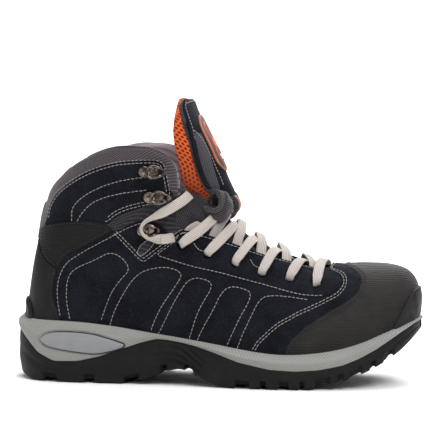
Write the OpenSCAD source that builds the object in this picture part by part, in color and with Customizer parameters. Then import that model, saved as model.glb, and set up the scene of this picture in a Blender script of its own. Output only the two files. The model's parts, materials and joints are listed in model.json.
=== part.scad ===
// Mid-height hiking boot, right foot. +X is the toe, +Z is up, the outer (lateral)
// side of the foot is -Y. The origin is the centre of the footprint box on the ground.

/* [Size] */
// Length of the whole boot over its sole, in millimetres
boot_length = 310; // [260:1:330]

/* [Upper] */
// Thickness of the suede panels
suede_t = 1.6; // [1.2:0.1:1.6]
// How far the toe cap and the heel guard stand above the suede
guard_rise = 0.6; // [0.2:0.1:1.0]
// Thickness of the inner textile lining
lining_t = 1.0; // [0.6:0.1:1.2]
// Thickness of the heel counter, toe puff and collar foam layer
stiffener_t = 2.2; // [1.4:0.1:2.2]
// Diameter of the punched lace holes
eyelet_d = 8.4; // [7.6:0.1:9]

/* [Sole] */
// Depth of the tread grooves
tread_depth = 4.5; // [2:0.5:6]
// Width of the long groove down the middle of the tread
mid_groove_w = 6; // [3:1:10]
// Thickness of the removable footbed
footbed_t = 4; // [3:0.5:5]
// Thickness of the lasting board under the footbed
board_t = 2; // [1.5:0.1:2.2]

/* [Tongue] */
// Thickness of the padded tongue top
flap_t = 6.2; // [4:0.2:6.2]
// Thickness of the mesh on the back of the tongue
flap_lining_t = 1.6; // [1:0.1:1.8]

/* [Laces and hooks] */
// Width of the flat lace
lace_w = 6.4; // [5:0.2:6.6]
// Thickness of the flat lace
lace_t = 1.5; // [1:0.1:1.6]
// Thickness of the hook sheet metal
hook_t = 1.2; // [1:0.1:1.4]

/* [Hidden] */
k = boot_length/310;

// ---------------------------------------------------------------- last (foot form)
// One row per cross-section: bottom point x, z; crest point x, z; half-width to the
// outer side, to the inner side; start of the arc; roundness below and above the
// widest line; crest sideways shift; taper of the width towards the sole.
LAST = [
 [151.6,51,152.6,56,4,5,0,2,2.2,5,.02],[150.3,50,152.4,70,12,14.5,0,2,2.4,5,.03],
 [146.5,48,148.8,80.2,20,22.5,0,2,2.5,5,.04],[139.5,44.8,141.5,86.2,28.5,30.5,0,2,2.6,5,.05],
 [128,39.8,129,89,36.5,38,0,2,2.6,4.8,.06],[112,33.2,112,89.3,43.5,43.5,0,2,2.5,4.5,.07],
 [94,28.4,93.5,89.3,48.5,46.5,0,2,2.3,4,.07],[75,25.8,77,91,51,47.5,0,2,2.15,3.5,.07],
 [55,25,59,97,51.5,46.5,0,2,2.1,3,.06],[32,27.2,42,105,50,44.5,0,2,2.1,2.5,.05],
 [8,31,28.5,112,47,42,0,2,2.2,2,.05],[-18,34.8,18.5,119.5,43.5,40,0,2.2,2.4,1.5,.05],
 [-45,38.6,11.5,127,41,39,-.08,2.6,2.7,1,.04],[-72,42.6,6.5,134,39.5,38.2,-.2,3,3,.5,.03],
 [-97,45.2,3,141,38.8,38,-.36,3.2,3.2,0,.02],[-119,46,.5,148,38.4,37.8,-.54,3.3,3.4,0,.01],
 [-134,46,-1.5,154,38.2,37.8,-.78,3.4,3.5,0,0],[-143,46,-2.8,159,38.2,37.8,-.93,3.5,3.6,0,0],
 [-146.8,47,-3.6,163,38.3,37.9,-.99,3.5,3.65,0,0],[-147.1,56,-4.2,167,38.4,38,-1,3.5,3.7,0,0],
 [-145.8,68,-5.2,173,38.8,38.4,-1,3.5,3.8,0,0],[-143.6,82,-6,179,39.3,39,-1,3.4,3.9,0,0],
 [-140.7,96,-6.6,186,39.8,39.6,-1,3.3,4,0,0],[-137.8,110,-7.2,194,40.4,40.2,-1,3.2,4,0,0],
 [-135.4,124,-7.8,202,41,41,-1,3.1,4,0,0],[-131.1,138,-8.4,210,41.4,41.4,-1,3,4,0,0],
 [-126,152,-9,218,41.6,41.6,-1,3,4,0,0]];
NR = len(LAST);
IC = 19;      // first row whose two sides meet at the back of the heel
NV = 21;      // points along one row

function row_at(u) = let(i = min(floor(u), NR-2), f = u - i,
    a = i > 0 ? LAST[i-1] : 2*LAST[0]-LAST[1], b = LAST[i], c = LAST[i+1],
    d = i+2 < NR ? LAST[i+2] : 2*LAST[NR-1]-LAST[NR-2])
  f == 0 ? b : 0.5*((2*b) + (c-a)*f + (2*a-5*b+4*c-d)*f*f + (3*b-a-3*c+d)*f*f*f);
function row_point(s, v) = let(side = v <= 1 ? -1 : 1, w = v <= 1 ? v : 2-v,
    t0 = max(-1, min(0, s[6])), th0 = asin(t0), t = sin(th0 + (90-th0)*w),
    p = t < 0 ? s[7] : s[8], g = sqrt(max(0, 1 - pow(abs(t), p))), h = (t-t0)/(1-t0),
    W = (side < 0 ? s[4] : s[5])*(1 - s[10]*pow(1-h, 3)))
  [s[0] + (s[2]-s[0])*h, s[9] + side*W*g, s[1] + (s[3]-s[1])*h];
function last_point(u, v) = row_point(row_at(u), v);
function unit(a) = a/max(1e-9, norm(a));
function last_normal(u, v) = let(e = 0.02,
    du = last_point(min(NR-1, u+e), v) - last_point(max(0, u-e), v),
    dv = last_point(u, min(2, v+e)) - last_point(u, max(0, v-e)))
  unit(cross(dv, du));
function on_last(q) = last_point(q[0], q[1]) + q[2]*last_normal(q[0], q[1]);

// rows and normals of the foot form on its grid
GRID = [for (i = [0:NR-1]) [for (j = [0:NV-1]) row_point(LAST[i], 2*j/(NV-1))]];
function gn(i, j) = let(
    a = i > 0 ? GRID[i-1][j] : GRID[i][j], b = i < NR-1 ? GRID[i+1][j] : GRID[i][j],
    closed = i >= IC,
    c = j > 0 ? GRID[i][j-1] : (closed ? GRID[i][NV-2] : GRID[i][0]),
    d = j < NV-1 ? GRID[i][j+1] : (closed ? GRID[i][1] : GRID[i][NV-1]))
  unit(cross(d-c, b-a));
function gid(l, i, j) = (l*NR + i)*NV + (i >= IC && j == NV-1 ? 0 : j);

// a shell that lies between two distances from the foot form (b is the outer one)
module last_shell(a, b) {
  pts = [for (o = [b, a]) for (i = [0:NR-1]) for (j = [0:NV-1]) GRID[i][j] + o*gn(i, j)];
  quads = [for (i = [0:NR-2]) for (j = [0:NV-2]) each
    let(p = gid(0,i,j), q = gid(0,i+1,j), r = gid(0,i+1,j+1), s = gid(0,i,j+1), n = NR*NV)
    [[p,q,r],[p,r,s],[p+n,r+n,q+n],[p+n,s+n,r+n]]];
  rim = [for (i = [0:IC-1]) each
    [[gid(0,i,0), gid(1,i,0), gid(1,i+1,0)], [gid(0,i,0), gid(1,i+1,0), gid(0,i+1,0)],
     [gid(0,i,NV-1), gid(1,i+1,NV-1), gid(1,i,NV-1)], [gid(0,i,NV-1), gid(0,i+1,NV-1), gid(1,i+1,NV-1)]]];
  nose = [for (j = [1:NV-2]) each
    [[gid(0,0,0), gid(0,0,j), gid(0,0,j+1)], [gid(1,0,0), gid(1,0,j+1), gid(1,0,j)]]];
  toe_edge = [[gid(0,0,0), gid(0,0,NV-1), gid(1,0,NV-1)], [gid(0,0,0), gid(1,0,NV-1), gid(1,0,0)]];
  top = [for (j = [0:NV-2]) each
    [[gid(0,NR-1,j), gid(1,NR-1,j+1), gid(0,NR-1,j+1)], [gid(0,NR-1,j), gid(1,NR-1,j), gid(1,NR-1,j+1)]]];
  polyhedron(pts, concat(quads, rim, nose, toe_edge, top), convexity = 8);
}

// keep the part of a shell whose side view lies inside a flat outline
module side_cut(lo = -100, hi = 100) {
  resize([0,0,0]) difference() {
    intersection() {
      children(0);
      translate([0, hi, 0]) rotate([90,0,0]) linear_extrude(height = hi-lo) children(1);
    }
    stack([[[.3,.87],[-4,0,1,0]], [[.9,.92],[0,0,.45,.55]], [[2.9,0],[0,0,0,1]]]);
  }
}

// ---------------------------------------------------------------- side outlines (x, z)
module upper_2d() polygon([[-170,136],[-142,139],[-134,141],[-130,144],[-122,149.5],[-114,157],
  [-107,163],[-100,167.5],[-94,170],[-88,173],[-82,175.5],[-76,177.5],[-69,179],[-63,179.3],[-55,178.8],
  [-44,178.2],[-37,175.5],[-30,171],[-26,166],[-23.5,160],[-22.5,146],[-23.5,138],[-25,129],[-24,120],
  [-21,115.8],[-13,115],[-4,112.8],[11.5,107.5],[21.8,103.7],[37.6,98],[56.6,92.6],[69,88.2],[84,85],
  [87,88],[88,96],[180,96],[180,10],[-170,10]]);
module toe_2d() polygon([[94,100],[95.5,90.5],[104.7,86.6],[112,79.5],[110.5,71],[98.5,62],[82,52],
  [69.5,44],[61.5,34.5],[58,26],[56,8],[190,8],[190,100]]);
module front_2d() polygon([[87,104],[87,88],[86,85.5],[94.7,83.4],[98.7,79.5],[97.6,74],[91.4,70],
  [86.7,68],[75.7,62.8],[60,55],[47.5,47.3],[41.6,42],[34,33],[30,27.5],[26,8],[190,8],[190,104]]);
module eyestay_2d() polygon([[-19.5,140],[-19.5,116],[-24,114.5],[-28,108],[-41,98.5],[-42,97.3],
  [-29,93],[-12,88],[7,84.3],[25,79.8],[43,75.6],[60,70.8],[75,68.4],[86.7,68],[91.4,70],[97.6,74],
  [98.7,79.5],[94.7,83.4],[86,85.5],[87,88],[87,104]]);
module heel_2d() polygon([[-180,5],[-111,5],[-113.9,48],[-117,53.4],[-119.6,59.4],[-120.5,69.2],
  [-119.5,78.4],[-116,86.2],[-123.7,89.6],[-130.2,96],[-134.2,104],[-136.4,110],[-180,110]]);
module patch_2d() polygon([[-116,86.2],[-113.5,90.8],[-109.4,95.5],[-103,99.4],[-96,102.6],[-84.3,108.8],
  [-72.3,115],[-78,119.4],[-91,122.3],[-114,121],[-130,117],[-136,114.6],[-180,114.6],[-180,110],[-136.4,110],[-134.2,104],
  [-130.2,96],[-123.7,89.6]]);
module cuff_2d() polygon([[-130,117],[-127.5,124],[-124.3,133.5],[-114,147.5],[-100,157.6],[-82,165.3],
  [-66.6,169.1],[-51.5,170.3],[-38.2,169.6],[-32.5,167.7],[-30.4,164],[-29.1,153.4],[-27.8,142.9],
  [-35.7,135.9],[-48.3,133.2],[-65,128.6],[-74.2,124],[-78,119.4],[-91,122.3],[-114,121]]);
module ankle_2d() polygon([[-78,119.4],[-74.2,124],[-65,128.6],[-48.3,133.2],[-35.7,135.9],[-27.8,142.9],
  [-10,142.9],[-10,118],[-19.5,118],[-19.5,116],[-24,114.5],[-28.3,111.5],[-31.3,113.8],[-35,119],
  [-40.9,124.2],[-46.9,125.7],[-50.6,124.2],[-59.8,120.4],[-72.3,115]]);
module collar_2d() polygon([[-180,114.6],[-136,114.6],[-130,117],[-127.5,124],[-124.3,133.5],
  [-114,147.5],[-100,157.6],[-82,165.3],[-66.6,169.1],[-51.5,170.3],[-38.2,169.6],[-32.5,167.7],
  [-30.4,164],[-29.1,153.4],[-27.8,142.9],[-10,142.9],[-10,210],[-180,210]]);
module quarter_2d() difference() { upper_2d(); front_2d(); eyestay_2d(); heel_2d(); patch_2d();
  cuff_2d(); ankle_2d(); collar_2d(); }
// the inner layers stop under the eyestays, clear of the lace holes
module inner_2d() polygon([[-170,134],[-142,137],[-134,139],[-130,142],[-122,147.5],[-114,155],
  [-107,161],[-100,165.5],[-94,168],[-88,171],[-82,173.5],[-76,175.5],[-69,177],[-63,177.3],[-55,176.8],
  [-44,176.2],[-38,173.5],[-32,169],[-28,164],[-26,159],[-25,146],[-26,138],[-27.5,129],[-28,118],
  [-30,103],[-24,96],[-12,88.5],[-2,85],[19,79.5],[39,74.5],[60,69],[80,66],[92,68],[99,74],[101,82],
  [101,110],[180,110],[180,10],[-170,10]]);

// ---------------------------------------------------------------- sole
// heights along the boot: underside of the tread, top of the outsole, feather line
TREAD = [[-160,20],[-153,9],[-146,3],[-136,0],[-62,0],[-47,4],[-33,10],[-20,13],[-8,8],[4,2.5],[14,0],
  [74,0],[88,3],[104,7],[120,14],[132,21],[142,29],[150,38],[157,48]];
OUT_TOP = [[-160,40],[-144,37],[-138,31],[-130,22],[-118,16],[-100,16.5],[-83,20.5],[-63,27.5],[-50,32],
  [-38,35],[-30,34.4],[-18,32.6],[-6,30],[8,25.8],[25,19.8],[48,15],[66,14],[83,15],[100,18.5],[112,23.5],
  [123,29.5],[140,41.5],[150,48.2],[157,49.2]];
function last_plan(i, s) = let(r = LAST[i], q = row_point(r, s < 0 ? 0 : 2)) [q[0], q[1], r[1]];
PLAN = concat([for (i = [0:18]) last_plan(i, -1)], [[-147.8, 0, 50]], [for (i = [18:-1:0]) last_plan(i, 1)]);
NP = len(PLAN);
function plan_normal(i) = let(a = PLAN[(i+NP-1)%NP], b = PLAN[(i+1)%NP], d = b-a)
  unit([-d[1], d[0], 0]);
function flare(x, s) = lookup(x, [[-150,7.95],[-135,6],[-110,4.8],[-60,4.8],[-10,6],[30,7.6],[70,7.6],[110,6.4],[140,4.6],[153,3.4]])
    + s*lookup(x, [[-140,0],[-60,.6],[30,1.1],[70,1.1],[110,.8],[140,0]]);
function ring(f, zf) = [for (i = [0:NP-1]) let(p = PLAN[i], n = plan_normal(i), d = f[0] + f[1]*flare(p[0], i < 19 ? 1.13 : (i > 19 ? -1.07 : 0)))
  [p[0] + n[0]*d, p[1] + n[1]*d, zf[0] + (zf[1] == 0 ? 0 : zf[1]*lookup(p[0], TREAD))
    + (zf[2] == 0 ? 0 : zf[2]*lookup(p[0], OUT_TOP)) + zf[3]*p[2]]];
// rings stacked from the bottom up, each [[fixed offset, flare share], [height terms]]
module stack(rings) {
  n = len(rings);
  pts = [for (r = rings) each ring(r[0], r[1])];
  walls = [for (l = [0:n-2]) for (i = [0:NP-1]) let(j = (i+1)%NP, a = l*NP)
    each [[a+i, a+j, a+NP+j], [a+i, a+NP+j, a+NP+i]]];
  caps = [for (i = [0:18]) each let(j = i+1, a = NP-1-i, b = NP-2-i, t = (n-1)*NP)
    b <= j ? [[i, a, j], [t+i, t+j, t+a]]
           : [[i, a, b], [i, b, j], [t+i, t+b, t+a], [t+i, t+j, t+b]]];
  polyhedron(pts, concat(walls, caps), convexity = 6);
}
module tread_grooves_2d() {
  for (g = [[-134,4,-14],[-115,5,8],[-86,4,8],[-52,7,10],[-20,5,4],[20,7,-8],[36,3,-8],[52,4,-8],
            [67,3,-6],[82,7,-6],[97,3,-4],[112,6,0],[134,4,0]]) for (s = [-1, 1])
    translate([g[0], 0]) rotate(s*g[2]) translate([-g[1]/2, s < 0 ? -70 : 0]) square([g[1], 70]);
  translate([-118,-mid_groove_w/2]) square([230, mid_groove_w]);
  for (x = [-100, 5, 60]) translate([x, 0]) circle(d = 14, $fn = 16);
}
module tread_zone() resize([0,0,0]) intersection() {
  stack([[[30,0],[-8,1,0,0]], [[30,0],[tread_depth,1,0,0]]]);
  translate([0,0,-20]) linear_extrude(height = 90) tread_grooves_2d();
}
module outsole() color([.10,.10,.11]) scale(k) resize([0,0,0]) difference() {
  stack([[[0,.55],[0,1,0,0]], [[0,.95],[3,.8,.2,0]], [[0,.85],[-.1,0,1,0]]]);
  tread_zone();
}
module midsole_body() stack([[[0,.85],[.1,0,1,0]], [[.6,.9],[0,0,.45,.55]], [[2.6,0],[-.15,0,0,1]]]);
module insert_2d() polygon([[-131,31],[-128,35.5],[-118,38.2],[-100,38],[-86,36.6],[-72,32.6],[-61,29],
  [-82,22.6],[-93,22.6],[-112,24.6],[-124,27]]);
module shank_2d() hull() { translate([-88,0]) circle(r = 11, $fn = 24); translate([2,0]) circle(r = 13, $fn = 24); }
module shank_slab(g) resize([0,0,0]) intersection() {
  stack([[[-8,0],[-2-g,0,0,1]], [[-8,0],[-.4+g,0,0,1]]]);
  linear_extrude(height = 70) offset(delta = g) shank_2d();
}
module insert(side) resize([0,0,0]) intersection() {
  difference() { midsole_body(); stack([[[-2.4,.85],[-3,0,1,0]], [[-1.4,.9],[0,0,.45,.55]], [[-1.4,.4],[3,0,0,1]]]); }
  translate([0, side*60 + 30, 0]) rotate([90,0,0]) linear_extrude(height = 60) insert_2d();
}
module midsole() color([.67,.67,.65]) scale(k) resize([0,0,0]) difference() {
  midsole_body();
  shank_slab(.1);
  translate([0,0,3]) shank_slab(.1);
  for (s = [-1, 1]) intersection() {
    difference() { stack([[[2,1.2],[-6,0,1,0]], [[2,1.2],[0,0,0,1]]]);
      stack([[[-2.6,.85],[-7,0,1,0]], [[-1.6,.9],[0,0,.45,.55]], [[-1.6,.4],[4,0,0,1]]]); }
    translate([0, s*60 + 30, 0]) rotate([90,0,0]) linear_extrude(height = 60) offset(delta = .15) insert_2d();
  }
}
module heel_insert_lateral() color([.62,.65,.68]) scale(k) insert(-1);
module heel_insert_medial() color([.62,.65,.68]) scale(k) insert(1);
module shank() color([.2,.2,.22]) scale(k) shank_slab(0);
module lasting_board() color([.6,.55,.48]) scale(k) resize([0,0,0]) intersection() {
  stack([[[-8,0],[.15,0,0,1]], [[-8,0],[.15+board_t,0,0,1]]]);
  translate([-170,-60,0]) cube([306,120,90]);
}
module footbed() color([.93,.45,.18]) scale(k) resize([0,0,0]) intersection() {
  difference() {
    stack([[[-9.4,0],[.75+board_t,0,0,1]], [[-9.2,0],[6.5+footbed_t,0,0,1]]]);
    stack([[[-13,0],[.75+board_t+footbed_t,0,0,1]], [[-9,0],[8.5+footbed_t,0,0,1]]]);
  }
  translate([-170,-60,0]) cube([296,120,90]);
}

// ---------------------------------------------------------------- upper
module toe_rand() color([.10,.10,.11]) scale(k) side_cut() {
  last_shell(guard_rise+.1, 2.9);
  polygon([[137,38],[150,49],[170,52],[170,73],[151,74],[147,66],[142,56],[135,46]]);
}
module heel_rand() color([.10,.10,.11]) scale(k) side_cut() {
  last_shell(guard_rise+.1, 3.2);
  polygon([[-170,44],[-137,44],[-139,52],[-142,58],[-146,62],[-170,63]]);
}
module lining_piece() side_cut() { last_shell(-5-lining_t, -5); intersection() { inner_2d(); children(); } }
module lining_collar() color([.35,.33,.36]) scale(k) lining_piece() translate([-180,100.1]) square([180,100]);
module lining_heel() color([.35,.33,.36]) scale(k) lining_piece() translate([-180,0]) square([119.9,100]);
module lining_forefoot() color([.35,.33,.36]) scale(k) lining_piece() union() {
  translate([-60,0]) square([260,100]); translate([.2,90]) square([200,60]); }
module membrane_bootie() color([.75,.75,.75]) scale(k) side_cut() { last_shell(-4.8, -4.2); offset(delta = -1) inner_2d(); }
module collar_foam() color([.8,.78,.6]) scale(k) side_cut() {
  last_shell(-1.8-stiffener_t, -1.8);
  intersection() { offset(delta = -1) inner_2d(); translate([-180,106]) square([170,100]); }
}
module heel_counter() color([.85,.84,.8]) scale(k) side_cut() {
  last_shell(-1.8-stiffener_t, -1.8);
  intersection() { offset(delta = -1) inner_2d(); translate([-180,47]) square([98,58]); }
}
module toe_puff() color([.85,.84,.8]) scale(k) side_cut() {
  last_shell(-1.8-stiffener_t, -1.8);
  intersection() { offset(delta = -1) inner_2d(); translate([104,20]) square([80,100]); }
}
module side_backing() color([.4,.38,.4]) scale(k) side_cut() {
  last_shell(-1.8-stiffener_t, -1.8);
  difference() {
    intersection() { offset(delta = -1) inner_2d(); translate([-81.8,20]) square([185.6,85.8]); }
    translate([-90,20]) square([1,1]);
  }
}
module outer(a = 0, b = 0, lo = -100, hi = 100) side_cut(lo, hi) { last_shell(-suede_t, b); children(); }
module back_strip() color([.08,.08,.09]) scale(k) side_cut(-6, 6) {
  last_shell(guard_rise+.1, guard_rise+1);
  polygon([[-170,106],[-128,106],[-128,138],[-170,137]]);
}
module collar_mesh() color([.38,.34,.37]) scale(k) outer() intersection() { upper_2d(); collar_2d(); }
module cuff_lateral() color([.12,.13,.18]) scale(k) outer(lo = -100, hi = 0) intersection() { upper_2d(); cuff_2d(); }
module cuff_medial() color([.12,.13,.18]) scale(k) outer(lo = 0, hi = 100) intersection() { upper_2d(); cuff_2d(); }
module ankle_mesh_lateral() color([.40,.37,.40]) scale(k) outer(lo = -100, hi = 0) intersection() { upper_2d(); ankle_2d(); }
module ankle_mesh_medial() color([.40,.37,.40]) scale(k) outer(lo = 0, hi = 100) intersection() { upper_2d(); ankle_2d(); }
module heel_patch() color([.17,.17,.16]) scale(k) outer(b = guard_rise) patch_2d();
module heel_guard() color([.14,.14,.14]) scale(k) outer(b = guard_rise) heel_2d();
module quarter_lateral() color([.12,.13,.18]) scale(k) outer(lo = -100, hi = 0) quarter_2d();
module quarter_medial() color([.12,.13,.18]) scale(k) outer(lo = 0, hi = 100) quarter_2d();
module vamp() color([.12,.13,.18]) scale(k) outer() difference() { intersection() { upper_2d(); front_2d(); } toe_2d(); }
module toe_cap() color([.16,.15,.14]) scale(k) outer(b = guard_rise) intersection() { upper_2d(); toe_2d(); }

// lace holes: [row, height share] on the outer side of the foot form, ankle to toe
EYELETS = [[13.2,.485],[11.7,.495],[10.25,.52],[9,.53],[7.9,.575],[6.8,.58]];
function mirror_v(q, s) = s < 0 ? q : [q[0], 2-q[1], q[2]];
module eyestay(s) resize([0,0,0]) difference() {
  outer(lo = s < 0 ? -100 : 0, hi = s < 0 ? 0 : 100) intersection() { upper_2d(); eyestay_2d(); }
  for (e = EYELETS) let(q = mirror_v([e[0], e[1], 0], s), p = on_last(q), n = last_normal(q[0], q[1]))
    translate(p) rotate([0, acos(n[2]), atan2(n[1], n[0])]) cylinder(d = eyelet_d, h = 12, center = true, $fn = 16);
}
module eyestay_lateral() color([.12,.13,.18]) scale(k) eyestay(-1);
module eyestay_medial() color([.12,.13,.18]) scale(k) eyestay(1);

// tongue under the laces, and the folded mesh that joins it to the sides
module tongue_base() color([.30,.29,.33]) scale(k) resize([0,0,0]) intersection() {
  side_cut(-22, 25) {
    last_shell(-10.4, -6);
    polygon([[97,20],[97,120],[40,150],[20,136.5],[-2,136.5],[-14,128],[-22,112],[-30,60],[-30,20]]);
  }
  translate([-20,-60,60]) cube([130,120,90]);
}
module gusset(s) resize([0,0,0]) intersection() {
  last_shell(-7.4, -6.4);
  translate([0, s < 0 ? -22.4 : 65.4, 0]) rotate([90,0,0]) linear_extrude(height = 40)
    polygon([[-12,134],[20,134],[95,98],[95,72],[80,68.5],[60,71],[39,77],[19,82],[-2,87.5],[-12,91],[-22,98],[-26,104],[-25,118],[-22,130]]);
}
module gusset_lateral() color([.42,.40,.43]) scale(k) gusset(-1);
module gusset_medial() color([.42,.40,.43]) scale(k) gusset(1);
module lace_keeper() color([.85,.40,.15]) scale(k) translate([6.4,1.5,131]) rotate([0,-20,0]) rotate([0,0,-80])
  rotate_extrude(angle = 160, $fn = 32) translate([11,-5.5]) square([1.4,11]);

// tongue top: rows of height, front centre x, side edge x, half-width
FLAP = [[141,12,1.5,13],[145,10.6,-5,18],[150,8.4,-13,22],[157,5.2,-20,24.2],[166,1.8,-25,25.2],[175,-2.4,-28,25.6],
  [184,-7.4,-29.2,25.6],[192,-11.8,-29.2,25.6],[199,-15.2,-28.6,25],[206,-18,-27.4,23],[211,-19.8,-26,19.6],[215,-21.4,-24.4,13]];
NF = 16;
function flap_p(r, c, o) = let(s = cos(c*180/NF - 90 + 90), y = -r[3]*cos(c*180/NF), q = pow(abs(y/r[3]), 2.2),
    x = r[2] + (r[1]-r[2])*(1-q),
    sl = -(r[1]-r[2])*2.2*pow(abs(y/r[3]), 1.2)/r[3]*(y < 0 ? -1 : 1), n = unit([1, -sl, 0]))
  [x + n[0]*o, y + n[1]*o, r[0]];
// a piece of the tongue top between two depths, rows i0..i1, columns c0..c1
module flap_shell(o0, o1, i0, i1, c0, c1) {
  nc = c1-c0+1; nr = i1-i0+1; n = nc*nr;
  pts = [for (o = [o1, o0]) for (i = [i0:i1]) for (c = [c0:c1])
    flap_p(FLAP[i], c, o*(o < 0 ? 1 - .3*pow(abs(c-NF/2)/(NF/2), 3) : 1))];
  function id(l,i,c) = l*n + (i-i0)*nc + (c-c0);
  faces = concat(
    [for (i = [i0:i1-1]) for (c = [c0:c1-1]) each [[id(0,i,c), id(0,i,c+1), id(0,i+1,c+1)], [id(0,i,c), id(0,i+1,c+1), id(0,i+1,c)],
      [id(1,i,c), id(1,i+1,c+1), id(1,i,c+1)], [id(1,i,c), id(1,i+1,c), id(1,i+1,c+1)]]],
    [for (c = [c0:c1-1]) each [[id(0,i0,c), id(1,i0,c), id(1,i0,c+1)], [id(0,i0,c), id(1,i0,c+1), id(0,i0,c+1)],
      [id(0,i1,c), id(1,i1,c+1), id(1,i1,c)], [id(0,i1,c), id(0,i1,c+1), id(1,i1,c+1)]]],
    [for (i = [i0:i1-1]) each [[id(0,i,c0), id(1,i+1,c0), id(1,i,c0)], [id(0,i,c0), id(0,i+1,c0), id(1,i+1,c0)],
      [id(0,i,c1), id(1,i,c1), id(1,i+1,c1)], [id(0,i,c1), id(1,i+1,c1), id(0,i+1,c1)]]]);
  polyhedron(pts, [for (f = faces) [f[0], f[2], f[1]]], convexity = 4);
}
module tongue_flap() color([.12,.13,.18]) scale(k) flap_shell(-flap_t, 0, 0, 11, 0, NF);
module tongue_lining() color([.92,.36,.12]) scale(k) flap_shell(-6.4-flap_lining_t, -6.4, 0, 10, 0, NF);
module tongue_badge() color([.25,.25,.27]) scale(k) resize([0,0,0]) intersection() {
  flap_shell(.2, 1.4, 2, 9, 2, NF-2);
  translate([-40,0,178]) rotate([90,0,90]) linear_extrude(height = 80) hull() for (s = [-1, 1]) translate([0, 10*s]) circle(r = 12, $fn = 32);
}

// ---------------------------------------------------------------- hooks and lace
// centre of each hook on the outer side, and how the metal follows the shaft
HOOKS = [[-43,161,-40.6],[-39.5,141,-38.6]];
module on_side(s) mirror([0, s < 0 ? 0 : 1, 0]) children();
module speed_hook() {
  rotate([90,0,0]) difference() {
    union() { cylinder(d = 9.6, h = hook_t, center = true, $fn = 32); translate([0,-4.8,-hook_t/2]) cube([9, 9.6, hook_t]); }
    cylinder(d = 3.4, h = 5, center = true, $fn = 24);
  }
  translate([9,-1.9,-4.8]) rotate([0,0,-90]) rotate_extrude(angle = 180, $fn = 32) translate([1.3,0]) square([hook_t, 9.6]);
  translate([2.6,-3.8-hook_t/2,-4.8]) cube([6.4, hook_t, 9.6]);
}
module hook_pair(h) for (s = [-1, 1]) on_side(s) translate([h[0]-5, h[2]-.9, h[1]]) rotate([0,0,8]) speed_hook();
module top_hooks() color([.45,.41,.36]) scale(k) hook_pair(HOOKS[0]);
module middle_hooks() color([.45,.41,.36]) scale(k) hook_pair(HOOKS[1]);
module lock_hooks() color([.45,.41,.36]) scale(k) for (s = [-1, 1]) on_side(s) translate([-50,-38.8,117]) rotate([0,0,5]) {
  rotate([90,0,0]) difference() {
    union() { cylinder(d = 9, h = hook_t, center = true, $fn = 32); translate([0,-4.5,-hook_t/2]) cube([8, 9, hook_t]); }
    cylinder(d = 3.4, h = 5, center = true, $fn = 24);
  }
  translate([8,-2.9,-4.5]) rotate([0,0,-90]) rotate_extrude(angle = 180, $fn = 32) translate([2.3,0]) square([hook_t, 9]);
  translate([0,-6.4,-4.5]) cube([8, hook_t, 9]);
}
module rivet() rotate([90,0,0]) { translate([0,0,-.6]) cylinder(d = 3.2, h = 1.9, $fn = 24); translate([0,0,.9]) cylinder(d1 = 6.4, d2 = 4, h = 1.1, $fn = 24); }
module hook_rivets() color([.5,.46,.4]) scale(k) for (s = [-1, 1]) on_side(s) {
  for (h = HOOKS) translate([h[0]-5, h[2]-.9, h[1]]) rotate([0,0,8]) rivet();
  translate([-50,-38.8,117]) rotate([0,0,5]) rivet();
}

// lace route in foot-form coordinates [row, share round the foot, height above it]
EDGE_V = [.605,.66,.69,.74,.765,.80];
// a hole passage of side s at eyelet n, from the top side down to the tongue side
function hole_in(n, s) = [for (o = [3.2, 1.2, -.8, -2.6]) mirror_v([EYELETS[n][0], EYELETS[n][1], o], s)];
function rev(a) = [for (i = [len(a)-1:-1:0]) a[i]];
// from below hole n on side s to above hole m on the other side; c is the height at the crest
function cross_over(n, m, s, c) = let(a = EYELETS[n][0], b = EYELETS[m][0], va = EDGE_V[n], vb = EDGE_V[m])
  [mirror_v([a+(b-a)*.08, EYELETS[n][1]+.07, -3.7], s), mirror_v([a+(b-a)*.2, va, -3.7], s), mirror_v([a+(b-a)*.32, (va+1)/2, c-.6], s),
   mirror_v([a+(b-a)*.5, 1, c], s), mirror_v([a+(b-a)*.68, (vb+1)/2, .5*(c+3.4)], -s), mirror_v([a+(b-a)*.8, vb, 3.1], -s),
   mirror_v([a+(b-a)*.95, EYELETS[m][1]+.04, 3.6], -s)];
function strand(n, s, over) = n == 0 ? [] :
  concat(cross_over(n, n-1, s, (s < 0) == over ? .4 : -3.4), hole_in(n-1, -s), strand(n-1, -s, over));
bar = concat(rev(hole_in(5, -1)), [[6.8,.7,3.6],[6.8,.85,2.4],[6.8,1,2],[6.8,1.15,2.4],[6.8,1.3,3.6]], hole_in(5, 1));
// strand from the last hole up to the lock hook, then ends in the hook
function to_lock(s, c) = [mirror_v([13.4,.57,-3.6], -s), mirror_v([13.2,.64,-3.4], -s), mirror_v([12.9,.8,c-.4], -s), mirror_v([13,1,c], s),
  mirror_v([13.5,.82,1.6], s), mirror_v([14.2,.68,3.4], s), mirror_v([15,.585,4.2], s), mirror_v([15.5,.55,4.4], s)];
LACE_UV = concat(rev(concat(strand(5, -1, true), to_lock(-1, .4))), bar, concat(strand(5, 1, true), to_lock(1, -3.4)));
LACE = [for (q = LACE_UV) on_last(q)];
LACE_N = [for (q = LACE_UV) last_normal(q[0], q[1])];
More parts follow.
